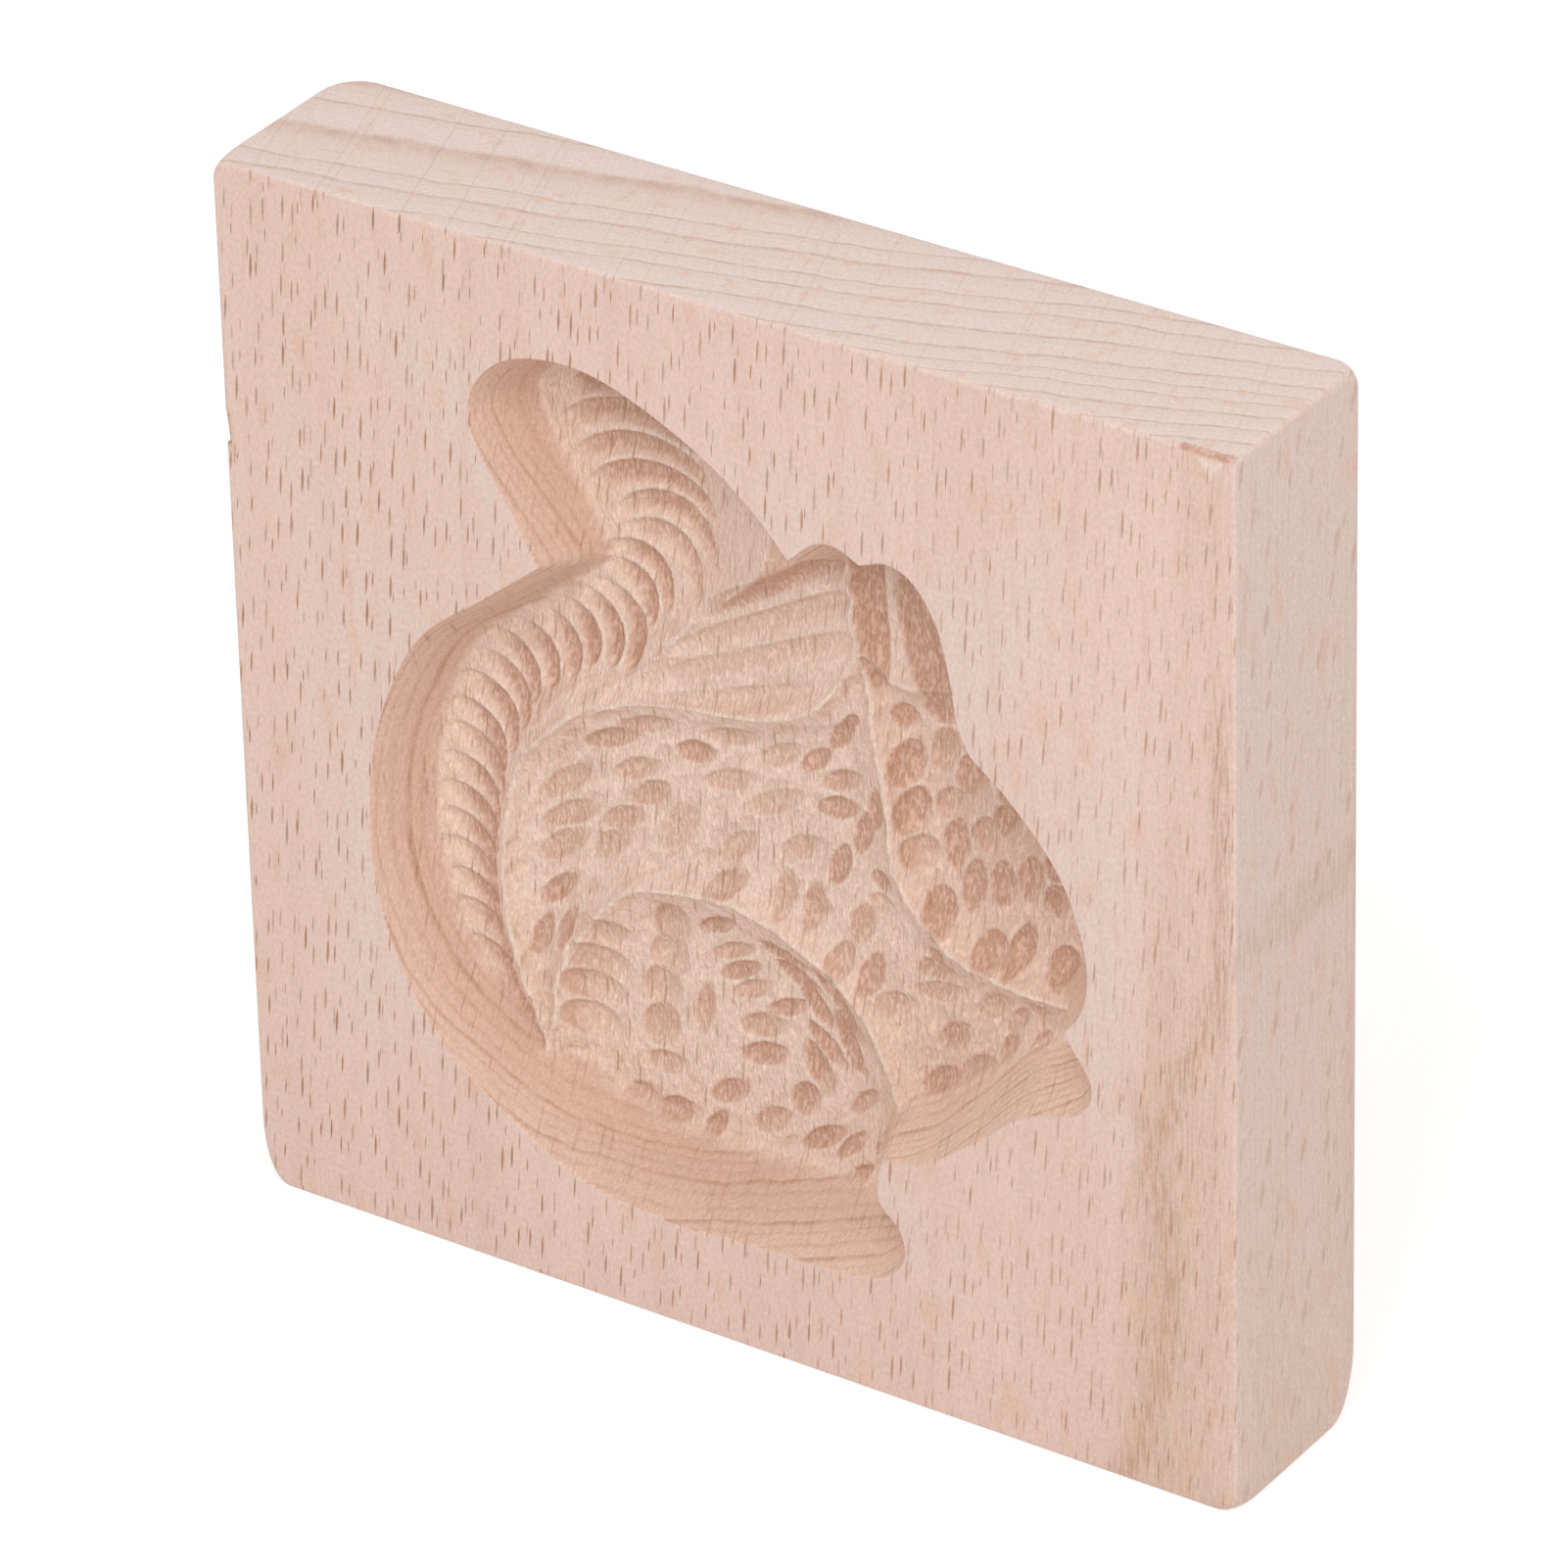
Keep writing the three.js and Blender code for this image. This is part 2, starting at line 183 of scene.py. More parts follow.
@dataclass(frozen=True)
class Hollow:
    """A part of the figure: a dished floor inside a loop, left on a slope outside it."""

    loop: Sequence[Point]
    floor: float
    edge: float
    reach: float
    outside: float

    def depth(self, x: np.ndarray, z: np.ndarray) -> np.ndarray:
        """Depth of the hollow below the front face.

        Args:
            x: Places across.
            z: Places up.

        Returns:
            The depth at each place.
        """
        inward = depth_in_loop(x, z, smooth_line(self.loop, LineKind.CLOSED))
        rise = 1.0 - np.clip(inward / self.reach, 0.0, 1.0)
        dished = self.edge + (self.floor - self.edge) * (1.0 - rise * rise)
        return np.where(inward <= 0.0, self.edge + inward * self.outside, dished)


@dataclass(frozen=True)
class Flute:
    """A scoop along a bent line, steeper on its left, that tapers at both ends."""

    start: Point
    middle: Point
    end: Point
    width: float
    depth: float
    stain_and_shade: float = 0.85
    shade_start: float = -0.75
    fade: float = 0.5
    lean: float = 0.35
    entry: float = 0.5
    tip: float = 0.3
    bends: int = 10
    shade_run: float = 0.7
    bare_edge: float = 0.35
    tip_fade: float = 0.9

    def line(self) -> np.ndarray:
        """The bent line that the tool follows, through the middle point."""
        start, middle, end = (np.asarray(p, float) for p in (self.start, self.middle, self.end))
        control = 2 * middle - (start + end) / 2
        t = np.linspace(0.0, 1.0, self.bends)[:, None]
        return start * (1 - t) ** 2 + control * 2 * t * (1 - t) + end * t ** 2

    def cut(self, x: np.ndarray, z: np.ndarray) -> tuple[np.ndarray, np.ndarray]:
        """Depth of the scoop below the surface it is cut into, and how dark it is.

        Args:
            x: Places across.
            z: Places up.

        Returns:
            The depth and the darkness at each place, 0 outside the scoop.
        """
        line = self.line()
        low = line.min(0) - self.width / 2
        high = line.max(0) + self.width / 2
        near = (x > low[0]) & (x < high[0]) & (z > low[1]) & (z < high[1])
        depth, stain_and_shade = np.zeros(x.shape), np.zeros(x.shape)
        distance, along, side = nearest(x[near], z[near], line)
        taper = self.tip + (1 - self.tip) * np.sqrt(np.clip(4 * along * (1 - along), 0.0, 1.0))
        across = side * np.minimum(distance / (self.width / 2 * taper), 1.0)
        scoop = (1 - across ** 2) * (1 + self.lean * across)
        depth[near] = self.depth * (self.entry + (1 - self.entry) * along) * taper * scoop
        # Painted shade: the side of the flute turned from the light is darkened, over the torn wood's own
        # darker colour
        shaded = smooth_step(self.shade_start, self.shade_start + self.shade_run, across)
        shaded *= smooth_step(0.0, self.bare_edge, scoop)
        shaded *= smooth_step(0.0, self.fade, along) * smooth_step(1.0, self.tip_fade, along)
        stain_and_shade[near] = self.stain_and_shade * shaded
        return depth, stain_and_shade


class MarkShape(Enum):
    """Outline of a gouge mark, as the power that its ends taper with."""

    OVAL = 2.0
    LEAF = 1.35


@dataclass(frozen=True)
class Gouge:
    """One short stroke of a round gouge, steep at its upper left and running out to the right."""

    centre: Point
    angle: float
    length: float
    width: float
    depth: float
    shape: MarkShape = MarkShape.OVAL
    stain_and_shade: float = 1.0
    lean: float = 0.5
    edge: float = 0.7
    uphill: Point = (-0.87, 0.5)
    least_depth: float = 0.2
    bare_edge: float = 0.26
    shade: Span = (-1.0, -0.1)

    def cut(self, x: np.ndarray, z: np.ndarray) -> tuple[np.ndarray, np.ndarray]:
        """Depth of the mark below the surface it is cut into, and how dark it is.

        Args:
            x: Places across.
            z: Places up.

        Returns:
            The depth and the darkness at each place, 0 outside the mark.
        """
        reach = max(self.length, self.width) / 2
        near = (np.abs(x - self.centre[0]) < reach) & (np.abs(z - self.centre[1]) < reach)
        turn = math.radians(self.angle)
        dx, dz = x[near] - self.centre[0], z[near] - self.centre[1]
        u = (dx * math.cos(turn) + dz * math.sin(turn)) / (self.length / 2)
        v = (dz * math.cos(turn) - dx * math.sin(turn)) / (self.width / 2)
        bowl = np.maximum(1.0 - np.abs(u) ** self.shape.value - v * v, 0.0)
        uphill = (self.uphill[1] * dz + self.uphill[0] * dx) / reach
        depth, stain_and_shade = np.zeros(x.shape), np.zeros(x.shape)
        lean = np.maximum(1.0 + self.lean * uphill, self.least_depth)
        depth[near] = self.depth * bowl ** self.edge * lean
        # Painted shade on the steep upper-left side of the mark, which the light does not reach, over the
        # torn wood's own darker colour
        stain_and_shade[near] = self.stain_and_shade * smooth_step(0.0, self.bare_edge, bowl) * smooth_step(*self.shade, uphill)
        return depth, stain_and_shade


@dataclass(frozen=True)
class FurPatch:
    """Gouge marks that share one size and direction."""

    places: Sequence[Point]
    angle: float
    length: float
    width: float
    depth: float = 0.6
    shape: MarkShape = MarkShape.LEAF
    stain_and_shade: float = 1.0
    sizes: Span = (0.92, 1.1)
    turns: Span = (-7.0, 7.0)
    stain_and_shade_range: Span = (0.52, 1.0)

    def gouges(self, swell: float = 1.06) -> list[Gouge]:
        """The patch's marks, each a little unlike the others.

        Args:
            swell: How far a mark runs out past the outline that shows dark.

        Returns:
            One gouge mark for each place.
        """
        marks = []
        for x, z in self.places:
            chance = np.random.default_rng(round(100 * abs(x) + z))
            size, turn, stain_and_shade = (chance.uniform(*ends) for ends in (self.sizes, self.turns, self.stain_and_shade_range))
            marks.append(Gouge(
                (x, z), self.angle + turn, self.length * swell * size, self.width * swell / size,
                self.depth, self.shape, self.stain_and_shade * stain_and_shade,
            ))
        return marks


@dataclass(frozen=True)
class GroundStrokes:
    """Shallow strokes that cover the ground between the fur marks."""

    low: Point = (-27.0, 13.0)
    high: Point = (37.0, 69.0)
    gap: float = 2.3
    length: float = 3.6
    width: float = 1.7
    depth: float = 0.2
    haunch_centre: Point = (-6.0, 26.0)
    haunch_radius: float = 17.0
    haunch_size: float = 0.6
    fur_places: Triple = (-25.0, 5.0, 14.0)
    fur_angles: Triple = (42.0, 32.0, 76.0)
    shift: float = 0.8
    sizes: Span = (0.7, 1.25)
    turns: Span = (-14.0, 14.0)
    stain_and_shade_range: Span = (0.0, 0.32)
    seed: int = 11

    def on_haunch(self, x: float, z: float) -> bool:
        """Whether a place is on the haunch.

        Args:
            x: Place across.
            z: Place up.

        Returns:
            True on the haunch.
        """
        return math.dist((x, z), self.haunch_centre) < self.haunch_radius

    def angle(self, x: float, z: float) -> float:
        """Direction of the fur at a place.

        Args:
            x: Place across.
            z: Place up.

        Returns:
            The direction in degrees, anticlockwise from level.
        """
        dx, dz = x - self.haunch_centre[0], z - self.haunch_centre[1]
        if self.on_haunch(x, z):
            return math.degrees(math.atan2(dz, dx)) - 90.0
        return float(np.interp(x, self.fur_places, self.fur_angles))

    def gouges(self) -> list[Gouge]:
        """The strokes, on a loose grid."""
        chance = np.random.default_rng(self.seed)
        strokes = []
        for row, z in enumerate(np.arange(self.low[1], self.high[1], self.gap)):
            for x in np.arange(self.low[0] + (row % 2) * self.gap / 2, self.high[0], self.gap):
                px, pz = (float(v) for v in np.array([x, z]) + chance.uniform(-self.shift, self.shift, 2))
                size, turn = chance.uniform(*self.sizes), chance.uniform(*self.turns)
                if self.on_haunch(px, pz):
                    size *= self.haunch_size
                strokes.append(Gouge(
                    (px, pz), self.angle(px, pz) + turn, self.length * size, self.width * size,
                    self.depth * size, MarkShape.LEAF, chance.uniform(*self.stain_and_shade_range),
                ))
        return strokes


# The squirrel


@dataclass(frozen=True)
class SquirrelCarving:
    """The carved figure as a depth below the front face of the block."""

    tail_depth: float = 6.5
    tail_dish: float = 0.3
    body_depth: float = 7.1
    haunch_depth: float = 8.2
    head_depth: float = 7.7
    near_ear_depth: float = 6.4
    far_ear_depth: float = 6.1
    foot_depth: float = 6.6
    ridge_depth: float = 5.4
    haunch_ridge_depth: float = 5.9
    ear_ridge_depth: float = 5.0
    wall_slope: float = 2.4
    lower_wall_slope: float = 1.7
    wall_foot_blend: float = 1.6
    flute_count: int = 27
    flute_width: float = 2.9
    flute_depth: float = 1.2
    flute_shift: float = 0.22
    flute_stain_and_shade_range: Span = (0.65, 1.05)
    flute_widths: Span = (0.94, 1.08)
    flute_depths: Span = (0.82, 1.08)
    ear_flute_depth: float = 0.9
    far_ear_share: float = 0.75
    ridge_slope: float = 1.1
    tail_shoulder_slope: float = 0.5
    foot_slope: float = 0.4
    clear_of_rim: Span = (0.8, 2.6)

    def rim(self) -> np.ndarray:
        """The edge of the carving on the front face: smooth runs that meet in corners."""
        tail_tip = [
            (-19.1, 73.9), (-21.4, 78), (-25.1, 84.2), (-26, 87.6), (-24.9, 90.8),
            (-22, 93.6), (-16.7, 95), (-11.4, 94.5), (-1.4, 90.1), (4.5, 85.6), (7.4, 82.4),
        ]
        far_ear_tip = [(7.4, 82.4), (10.1, 84.8), (12.2, 85.2), (14.8, 84.1)]
        near_ear_tip = [
            (14.8, 84.1), (17.4, 85), (19.9, 84.2), (22.4, 80.8), (23.8, 75.9),
            (24.6, 71.2), (25.8, 68.6),
        ]
        face = [(25.8, 68.6), (30.1, 65.1), (35.1, 58.9), (37.5, 50.9), (36.9, 46.6), (35.1, 43.9)]
        paw = [
            (35.1, 43.9), (37.9, 38.9), (36.4, 35.9), (30.9, 33.9), (25.6, 29.5),
            (19.8, 25.4), (15.9, 24.5),
        ]
        underside = [
            (15.9, 24.5), (15.5, 20.4), (17.8, 17.6), (18.1, 14.9), (15.9, 12.4), (10, 11.2),
            (2.7, 11), (-5.5, 10.4), (-14.9, 11.2), (-21.4, 13.9), (-30.2, 20.1), (-35.5, 27.1),
            (-38.4, 36.8), (-38.4, 46.2), (-36.4, 55.1), (-32, 63.3), (-24.9, 69.2), (-19.1, 73.9),
        ]
        runs = [tail_tip, far_ear_tip, near_ear_tip, face, paw, underside]
        points = np.vstack([smooth_line(run)[1:] for run in runs])
        return np.vstack([points[-1:], points])

    def hollows(self) -> list[Hollow]:
        """The parts of the figure, which meet in the ridges left between them."""
        tail_ridge = [
            (-24.4, 19.5), (-25.3, 22.4), (-27, 28), (-28.4, 36), (-27.9, 42), (-26.9, 47),
            (-25.2, 50.4), (-22.9, 52.7), (-19, 56.2),
        ]
        ear_ridge = [(-19, 56.2), (-14.6, 58.6), (-8.4, 60.1), (1, 61.8), (6.6, 64.8), (10.9, 71.2)]
        face_ridge = [
            (10.9, 71.2), (12.4, 61.2), (13.4, 55.3), (13.9, 50.4), (17, 45.9), (20.8, 43.4),
            (24.3, 42.7), (30.8, 42.4),
        ]
        haunch_ridge = [
            (-24.4, 19.5), (-23, 23.4), (-22.5, 27.6), (-20.7, 31.4), (-18.5, 35), (-14.4, 39.3),
            (-11.8, 40.2), (-7.4, 41), (-3.2, 41.1), (0.5, 40.2), (4.2, 38.6), (8.2, 36),
            (10.7, 33.1), (12.1, 30.4), (13.2, 27.3),
        ]
        between_ears = [(10.9, 71.2), (10.3, 75.8), (10.0, 81.6)]
        body = Hollow(
            [
                *tail_ridge, *ear_ridge[1:], *face_ridge[1:],
                (37, 43.5), (41, 39), (39, 33), (31, 30), (25, 25.5), (19, 21), (15.5, 22),
                *reversed(haunch_ridge[1:]),
            ],
            self.body_depth, self.ridge_depth, 4.2, self.ridge_slope,
        )
        haunch = Hollow(
            [*haunch_ridge, (15.6, 22.5), (18, 18), (19, 13), (14, 8.5), (-5, 7.5), (-19, 9.5)],
            self.haunch_depth, self.haunch_ridge_depth, 6.5, self.ridge_slope,
        )
        head = Hollow(
            [*face_ridge, (37, 43.4), (41, 50), (38.5, 60), (33, 67), (28, 71.5), (20, 71), (14, 69.8)],
            self.head_depth, self.ridge_depth, 5.0, self.ridge_slope,
        )
        near_ear = Hollow(
            [
                *between_ears, (14.5, 87), (19, 88), (24, 85), (27, 78), (27, 68.5),
                (20, 67.5), (15, 67.8),
            ],
            self.near_ear_depth, self.ear_ridge_depth, 3.5, self.ridge_slope,
        )
        far_ear = Hollow(
            [
                *ear_ridge, *between_ears[1:], (14.2, 87), (9.5, 88), (7, 82), (4.3, 77.2),
                (-0.1, 74.2), (-5.2, 71.1), (-10, 66.5), (-15, 61.2),
            ],
            self.far_ear_depth, 5.0, 3.0, self.ridge_slope,
        )
        tail = Hollow(
            [
                (-25.4, 19), (-28.3, 26.5), (-30, 33), (-30, 40), (-29.2, 45), (-27.8, 51),
                (-25.2, 55.2), (-22, 58.7), (-18.6, 60.4), (-15.2, 61.4), (-12.6, 65.4),
                (-9.5, 69.7), (-7, 73), (-5.4, 77.5), (-4.9, 82), (-4.9, 87), (-7, 99), (-20, 99),
                (-31, 92), (-28, 76), (-42, 60), (-43, 40), (-40, 25), (-31, 14),
            ],
            self.tail_depth + self.tail_dish, self.tail_depth, 3.0, self.tail_shoulder_slope,
        )
        foot = Hollow(
            [(-22, 18), (-10, 18.2), (4, 17.2), (15, 18.2), (20, 16), (17, 9), (0, 7), (-20, 8.5)],
            self.foot_depth, self.haunch_ridge_depth, 2.6, self.foot_slope,
        )
        return [body, haunch, head, near_ear, far_ear, tail, foot]

    def tail_flutes(self) -> list[Flute]:
        """The fan of flutes across the tail, from its tip down to its root."""
        stations = [
            (0, -19.6, 88.4, -12.4, 89.6, 0.14), (1, -21.1, 84.8, -6.4, 86.4, 0.17),
            (2, -19.9, 81.2, -5.6, 83.5, 0.17), (3, -18.1, 79.0, -4.6, 80.5, 0.18),
            (4, -15.2, 77.2, -4.4, 76.2, 0.28), (5, -15.1, 75.4, -6.4, 71.2, 0.34),
            (6, -16.1, 73.8, -10.0, 69.2, 0.34), (7, -16.6, 72.0, -12.3, 66.8, 0.32),
            (8, -17.6, 70.2, -14.4, 62.2, 0.29), (10, -21.9, 66.8, -18.9, 61.4, 0.24),
            (13, -29.4, 61.6, -24.9, 55.8, 0.2), (16, -33.8, 53.0, -28.3, 47.6, 0.18),
            (19, -35.3, 44.0, -29.7, 38.9, 0.17), (22, -35.0, 35.0, -29.5, 30.4, 0.17),
            (24, -33.2, 28.6, -27.7, 24.2, 0.17), (26, -29.1, 21.8, -25.2, 18.9, 0.18),
        ]
        last = stations[-1][0]
        number = np.arange(self.flute_count) * last / (self.flute_count - 1)
        keys = np.array(stations).T
        columns = [np.interp(number, keys[0], column) for column in keys[1:]]
        flutes = []
        for place, ax, az, bx, bz, bulge in zip(number, *columns):
            chance = np.random.default_rng(round(10 * place))
            shifts = (chance.uniform(-self.flute_shift, self.flute_shift) for _ in range(4))
            ax, az, bx, bz = (value + shift for value, shift in zip((ax, az, bx, bz), shifts))
            middle = ((ax + bx) / 2 - (bz - az) * bulge, (az + bz) / 2 + (bx - ax) * bulge)
            stain_and_shade = float(np.interp(place, (0, 5, 10), (1.2, 1.05, 1.3)))
            stain_and_shade *= chance.uniform(*self.flute_stain_and_shade_range)
            fade = float(np.interp(place, (4, 10), (0.3, 0.5)))
            width = self.flute_width * chance.uniform(*self.flute_widths)
            depth = self.flute_depth * chance.uniform(*self.flute_depths)
            flutes.append(Flute((ax, az), middle, (bx, bz), width, depth, stain_and_shade, fade=fade))
        return flutes

    def ear_flutes(self) -> list[Flute]:
        """The long flutes of both ears."""
        far_ear = [
            ((-6.2, 70.0), (1.8, 75.4), (11.2, 81.2), 3.4, 0.85),
            ((-9.5, 65.6), (0, 70.6), (10.8, 77.2), 3.4, 0.42),
            ((-12.6, 61.8), (-1.8, 66.4), (10, 72.6), 3.4, 0.45),
            ((-15.4, 58.6), (-5, 61.6), (5.5, 66.2), 3.0, 0.32),
        ]
        near_ear = [
            ((11.3, 88), (11.6, 76.6), (12.7, 67.4), 3.6, 1.2),
            ((16.2, 90), (16.6, 77.4), (19.0, 67.0), 5.4, 1.25),
        ]
        deep = self.ear_flute_depth
        shallow = deep * self.far_ear_share
        return [
            *(Flute(*path, width, shallow, stain_and_shade, fade=0.25) for *path, width, stain_and_shade in far_ear),
            *(
                Flute(*path, width, deep, stain_and_shade, shade_start=-1.5, fade=0.08)
                for *path, width, stain_and_shade in near_ear
            ),
        ]

    def fur(self) -> list[Gouge]:
        """The short gouge marks of fur on the head, body and haunch."""
        patches = [*self._head_fur(), *self._neck_fur(), *self._back_fur(), *self._haunch_fur()]
        return [gouge for patch in patches for gouge in patch.gouges()]

    def ground(self) -> list[Gouge]:
        """The shallow strokes between the marks."""
        return GroundStrokes().gouges()

    def _head_fur(self) -> list[FurPatch]:
        """Upright oval marks that cover the face and the cheek."""
        oval = MarkShape.OVAL
        return [
            FurPatch([(14.5, 65.7)], -20, 3.2, 2.3, 0.5, stain_and_shade=1.2),
            FurPatch([(18.1, 67.0), (21.9, 66.2)], 0, 3.8, 2.6, 0.5, stain_and_shade=1.2),
            FurPatch([(14.7, 61.1), (15.3, 56.6), (18.2, 63.1), (21, 61.5)], 76, 4.6, 3.3, 0.7, oval, 1.25),
            FurPatch([(25, 60.8), (24.5, 57.8), (22.4, 55.9), (29.7, 54.9)], 70, 3.7, 3.0, 0.8, oval, 1.25),
            FurPatch([(18.8, 58.0), (16, 52.6), (29.7, 51.4)], 40, 3.7, 3.1, 0.7, oval, 1.25),
            FurPatch(
                [(19.2, 54), (26.9, 52.8), (24, 51.4), (21, 50.4), (26, 45.6)],
                78, 5.6, 2.9, 0.7, stain_and_shade=1.25,
            ),
            FurPatch([(18, 47), (33.4, 49.2)], 84, 5.2, 3.2, 0.6, oval, 1.25),
            FurPatch([(23.2, 44.6), (30.6, 45.2)], 80, 4.2, 3.6, 0.6, oval, 1.25),
        ]

    def _neck_fur(self) -> list[FurPatch]:
        """Marks under the jaw and down the breast."""
        return [
            FurPatch([(17.7, 42.6), (28.5, 40.5)], -20, 2.6, 1.9, 0.5),
            FurPatch([(17.5, 41), (17.7, 38.9), (13.2, 36.2)], 10, 5.6, 2.3, 0.5),
            FurPatch([(19.3, 34.8), (21.8, 32.4), (17.8, 29.9), (23.6, 39.4)], 38, 5.0, 2.6, 0.5),
            FurPatch([(25.9, 38.6), (28.2, 36.8), (24.8, 35.4)], 60, 4.4, 1.6, 0.5),
            FurPatch([(12, 48.4), (11.8, 45.9)], -12, 3.2, 2.2, 0.5),
            FurPatch([(9.6, 43.2), (7.4, 38.8), (4.5, 43.4), (1.5, 43.8), (10.6, 38.4)], 74, 5.2, 2.6, 0.5),
            FurPatch([(9.9, 52.5), (11.6, 55.6), (7.4, 48.6)], 74, 5.4, 2.0, 0.6, stain_and_shade=1.4),
        ]

    def _back_fur(self) -> list[FurPatch]:
        """Slanting leaf marks along the back, the flank and the belly."""
        return [
            FurPatch([(9.1, 63.7)], 30, 2.0, 1.4, 0.5),
            FurPatch([(7.9, 61.9), (5, 58.4)], 48, 4.4, 2.0, 0.6, stain_and_shade=1.3),
            FurPatch([(7.9, 57.2), (7.3, 54.3), (-7.7, 55.4)], 18, 5.2, 2.2, 0.65, stain_and_shade=1.4),
            FurPatch(
                [(-16.5, 54.3), (-3.5, 58.4), (-4, 53.7), (-12.4, 57)], 19, 7.2, 2.1, 0.55, stain_and_shade=0.85
            ),
            FurPatch(
                [(1.4, 57.9), (-14.2, 51.7), (-12.7, 49.7), (3.4, 49.1), (-15.8, 46.2)],
                28, 5.8, 2.3, 0.6, stain_and_shade=0.85,
            ),
            FurPatch(
                [(-21.8, 48.2), (-21.4, 45), (-22.4, 41.5), (0.7, 52.9)], 36, 7.4, 2.5, 0.55, stain_and_shade=0.8
            ),
            FurPatch([(-9.8, 46.9)], 60, 8.4, 3.4, 0.5, stain_and_shade=0.6),
            FurPatch([(-3.4, 47.2), (-17, 43.2), (-4.6, 43)], 44, 6.0, 2.4, 0.5, stain_and_shade=0.8),
            FurPatch([(-23.1, 36.7)], 42, 6.2, 2.0, 0.6),
            FurPatch([(-22.1, 33.1), (-24.9, 31.4)], 68, 5.6, 1.8, 0.6),
        ]

    def _haunch_fur(self) -> list[FurPatch]:
        """Broad scallops on the haunch, with narrow marks curling round its right side."""
        oval = MarkShape.OVAL
        return [
            FurPatch(
                [(-18.2, 33.6), (-18.9, 30.4), (-19.7, 27.2), (-20, 23.6)], -20, 5.6, 3.9, 0.85, oval, 0.55
            ),
            FurPatch(
                [(-11.3, 36.3), (-12, 32.6), (-12.8, 28.9), (-13.1, 25)], 70, 5.0, 3.8, 0.8, oval, 0.65
            ),
            FurPatch([(-8.3, 28.2)], 78, 5.6, 2.2, 0.6),
            FurPatch(
                [(-6.3, 37.8), (-5, 35.3), (-4.3, 33.5), (-3.1, 31.9), (0.7, 31.2)], 28, 5.2, 1.9, 0.6
            ),
            FurPatch([(-2, 28.5), (-1.8, 25.6)], 20, 5.6, 2.6, 0.6),
            FurPatch([(1.1, 36.9), (2.3, 34.9)], -14, 5.8, 2.1, 0.7, stain_and_shade=1.7),
            FurPatch([(3.9, 32.6), (6.4, 35.1), (7.8, 32.4), (4.9, 28.4)], -50, 6.2, 2.1, 0.7, stain_and_shade=1.7),
            FurPatch([(7.4, 29.6), (3.9, 25.8)], -66, 6.6, 2.4, 0.7, stain_and_shade=1.6),
            FurPatch([(2.4, 22.2)], 60, 3.6, 3.3, 0.65, oval),
            FurPatch([(8.9, 24.2), (11.6, 21.3), (7.3, 19), (7.7, 15.7), (-7.5, 16.2)], 52, 4.8, 1.7, 0.55),
            FurPatch([(-5.8, 20.4), (-1.3, 18.8), (4.3, 18.8)], 39, 5.4, 2.3, 0.55),
            FurPatch([(-12.5, 21.2), (-11.4, 16.7)], 4, 5.0, 2.6, 0.55),
            FurPatch([(-15.3, 16.4)], 0, 3.9, 3.5, 0.55, oval),
        ]

    def cuts(self, x: np.ndarray, z: np.ndarray) -> tuple[np.ndarray, np.ndarray]:
        """Depth of the tool marks below the hollows' own surface.

        Args:
            x: Places across.
            z: Places up.

        Returns:
            The deepest mark at each place, and its darkness there: torn wood's colour and painted shade.
        """
        deepest, darkest = np.zeros(x.shape), np.zeros(x.shape)
        for mark in [*self.tail_flutes(), *self.ear_flutes(), *self.fur(), *self.ground()]:
            depth, stain_and_shade = mark.cut(x, z)
            deepest = np.maximum(deepest, depth)
            darkest = np.maximum(darkest, stain_and_shade)
        return deepest, darkest

    def tone(self, x: np.ndarray, z: np.ndarray) -> np.ndarray:
        """Darkness of the ground between the marks, greatest on the head and less on the breast and the far
        ear.

        Args:
            x: Places across.
            z: Places up.

        Returns:
            The darkness at each place.
        """
        head, far_ear, breast = (25.0, 56.0, 13.0, 0.48), (1.0, 71.0, 9.0, 0.2), (18.0, 35.0, 10.0, 0.4)
        darkness = np.zeros(x.shape)
        for middle_x, middle_z, reach, share in (head, far_ear, breast):
            away = np.hypot(x - middle_x, z - middle_z) / reach
            darkness = np.maximum(darkness, share * np.exp(-away ** 2))
        return darkness

    def slope_of_wall(self, x: np.ndarray, z: np.ndarray) -> np.ndarray:
        """Slope of the wall: it is laid back at the bottom and under the paw.

        Args:
            x: Places across.
            z: Places up.

        Returns:
            The wall's depth over its run at each place.
        """
        low = smooth_step(30, 16, z)
        under_paw = smooth_step(12, 22, x) * smooth_step(50, 40, z)
        share = np.maximum(low, under_paw)
        return self.wall_slope + (self.lower_wall_slope - self.wall_slope) * share

    def depth(self, x: np.ndarray, z: np.ndarray) -> tuple[np.ndarray, np.ndarray]:
        """Depth of the carving below the front face, negative outside its rim.

        Args:
            x: Places across.
            z: Places up.

        Returns:
            The depth, and how dark the tool marks are: torn wood's colour and painted shade.
        """
        in_rim = depth_in_loop(x, z, self.rim())
        wall = in_rim * self.slope_of_wall(x, z)
        inside = in_rim > 0
        depth = wall.copy()
        marks = np.zeros(x.shape)
        xi, zi = x[inside], z[inside]
        floor = np.max([hollow.depth(xi, zi) for hollow in self.hollows()], axis=0)
        cut, stain_and_shade = self.cuts(xi, zi)
        clear = smooth_step(*self.clear_of_rim, in_rim[inside])
        bottom = floor + cut * clear
        joined = smooth_min(wall[inside], bottom, self.wall_foot_blend)
        depth[inside] = joined
        stain_and_shade = np.maximum(stain_and_shade, self.tone(xi, zi))
        on_floor = clear * smooth_step(1.0, 0.2, bottom - joined)
        # Beside the face the marks' darkness, torn wood and painted shade, reaches up to the rim
        beside_face = smooth_step(16, 24, xi) * smooth_step(42, 50, zi)
        beside_face *= smooth_step(0.1, 0.6, in_rim[inside])
        marks[inside] = stain_and_shade * np.maximum(on_floor, beside_face)
        return depth, marks


# Nodes


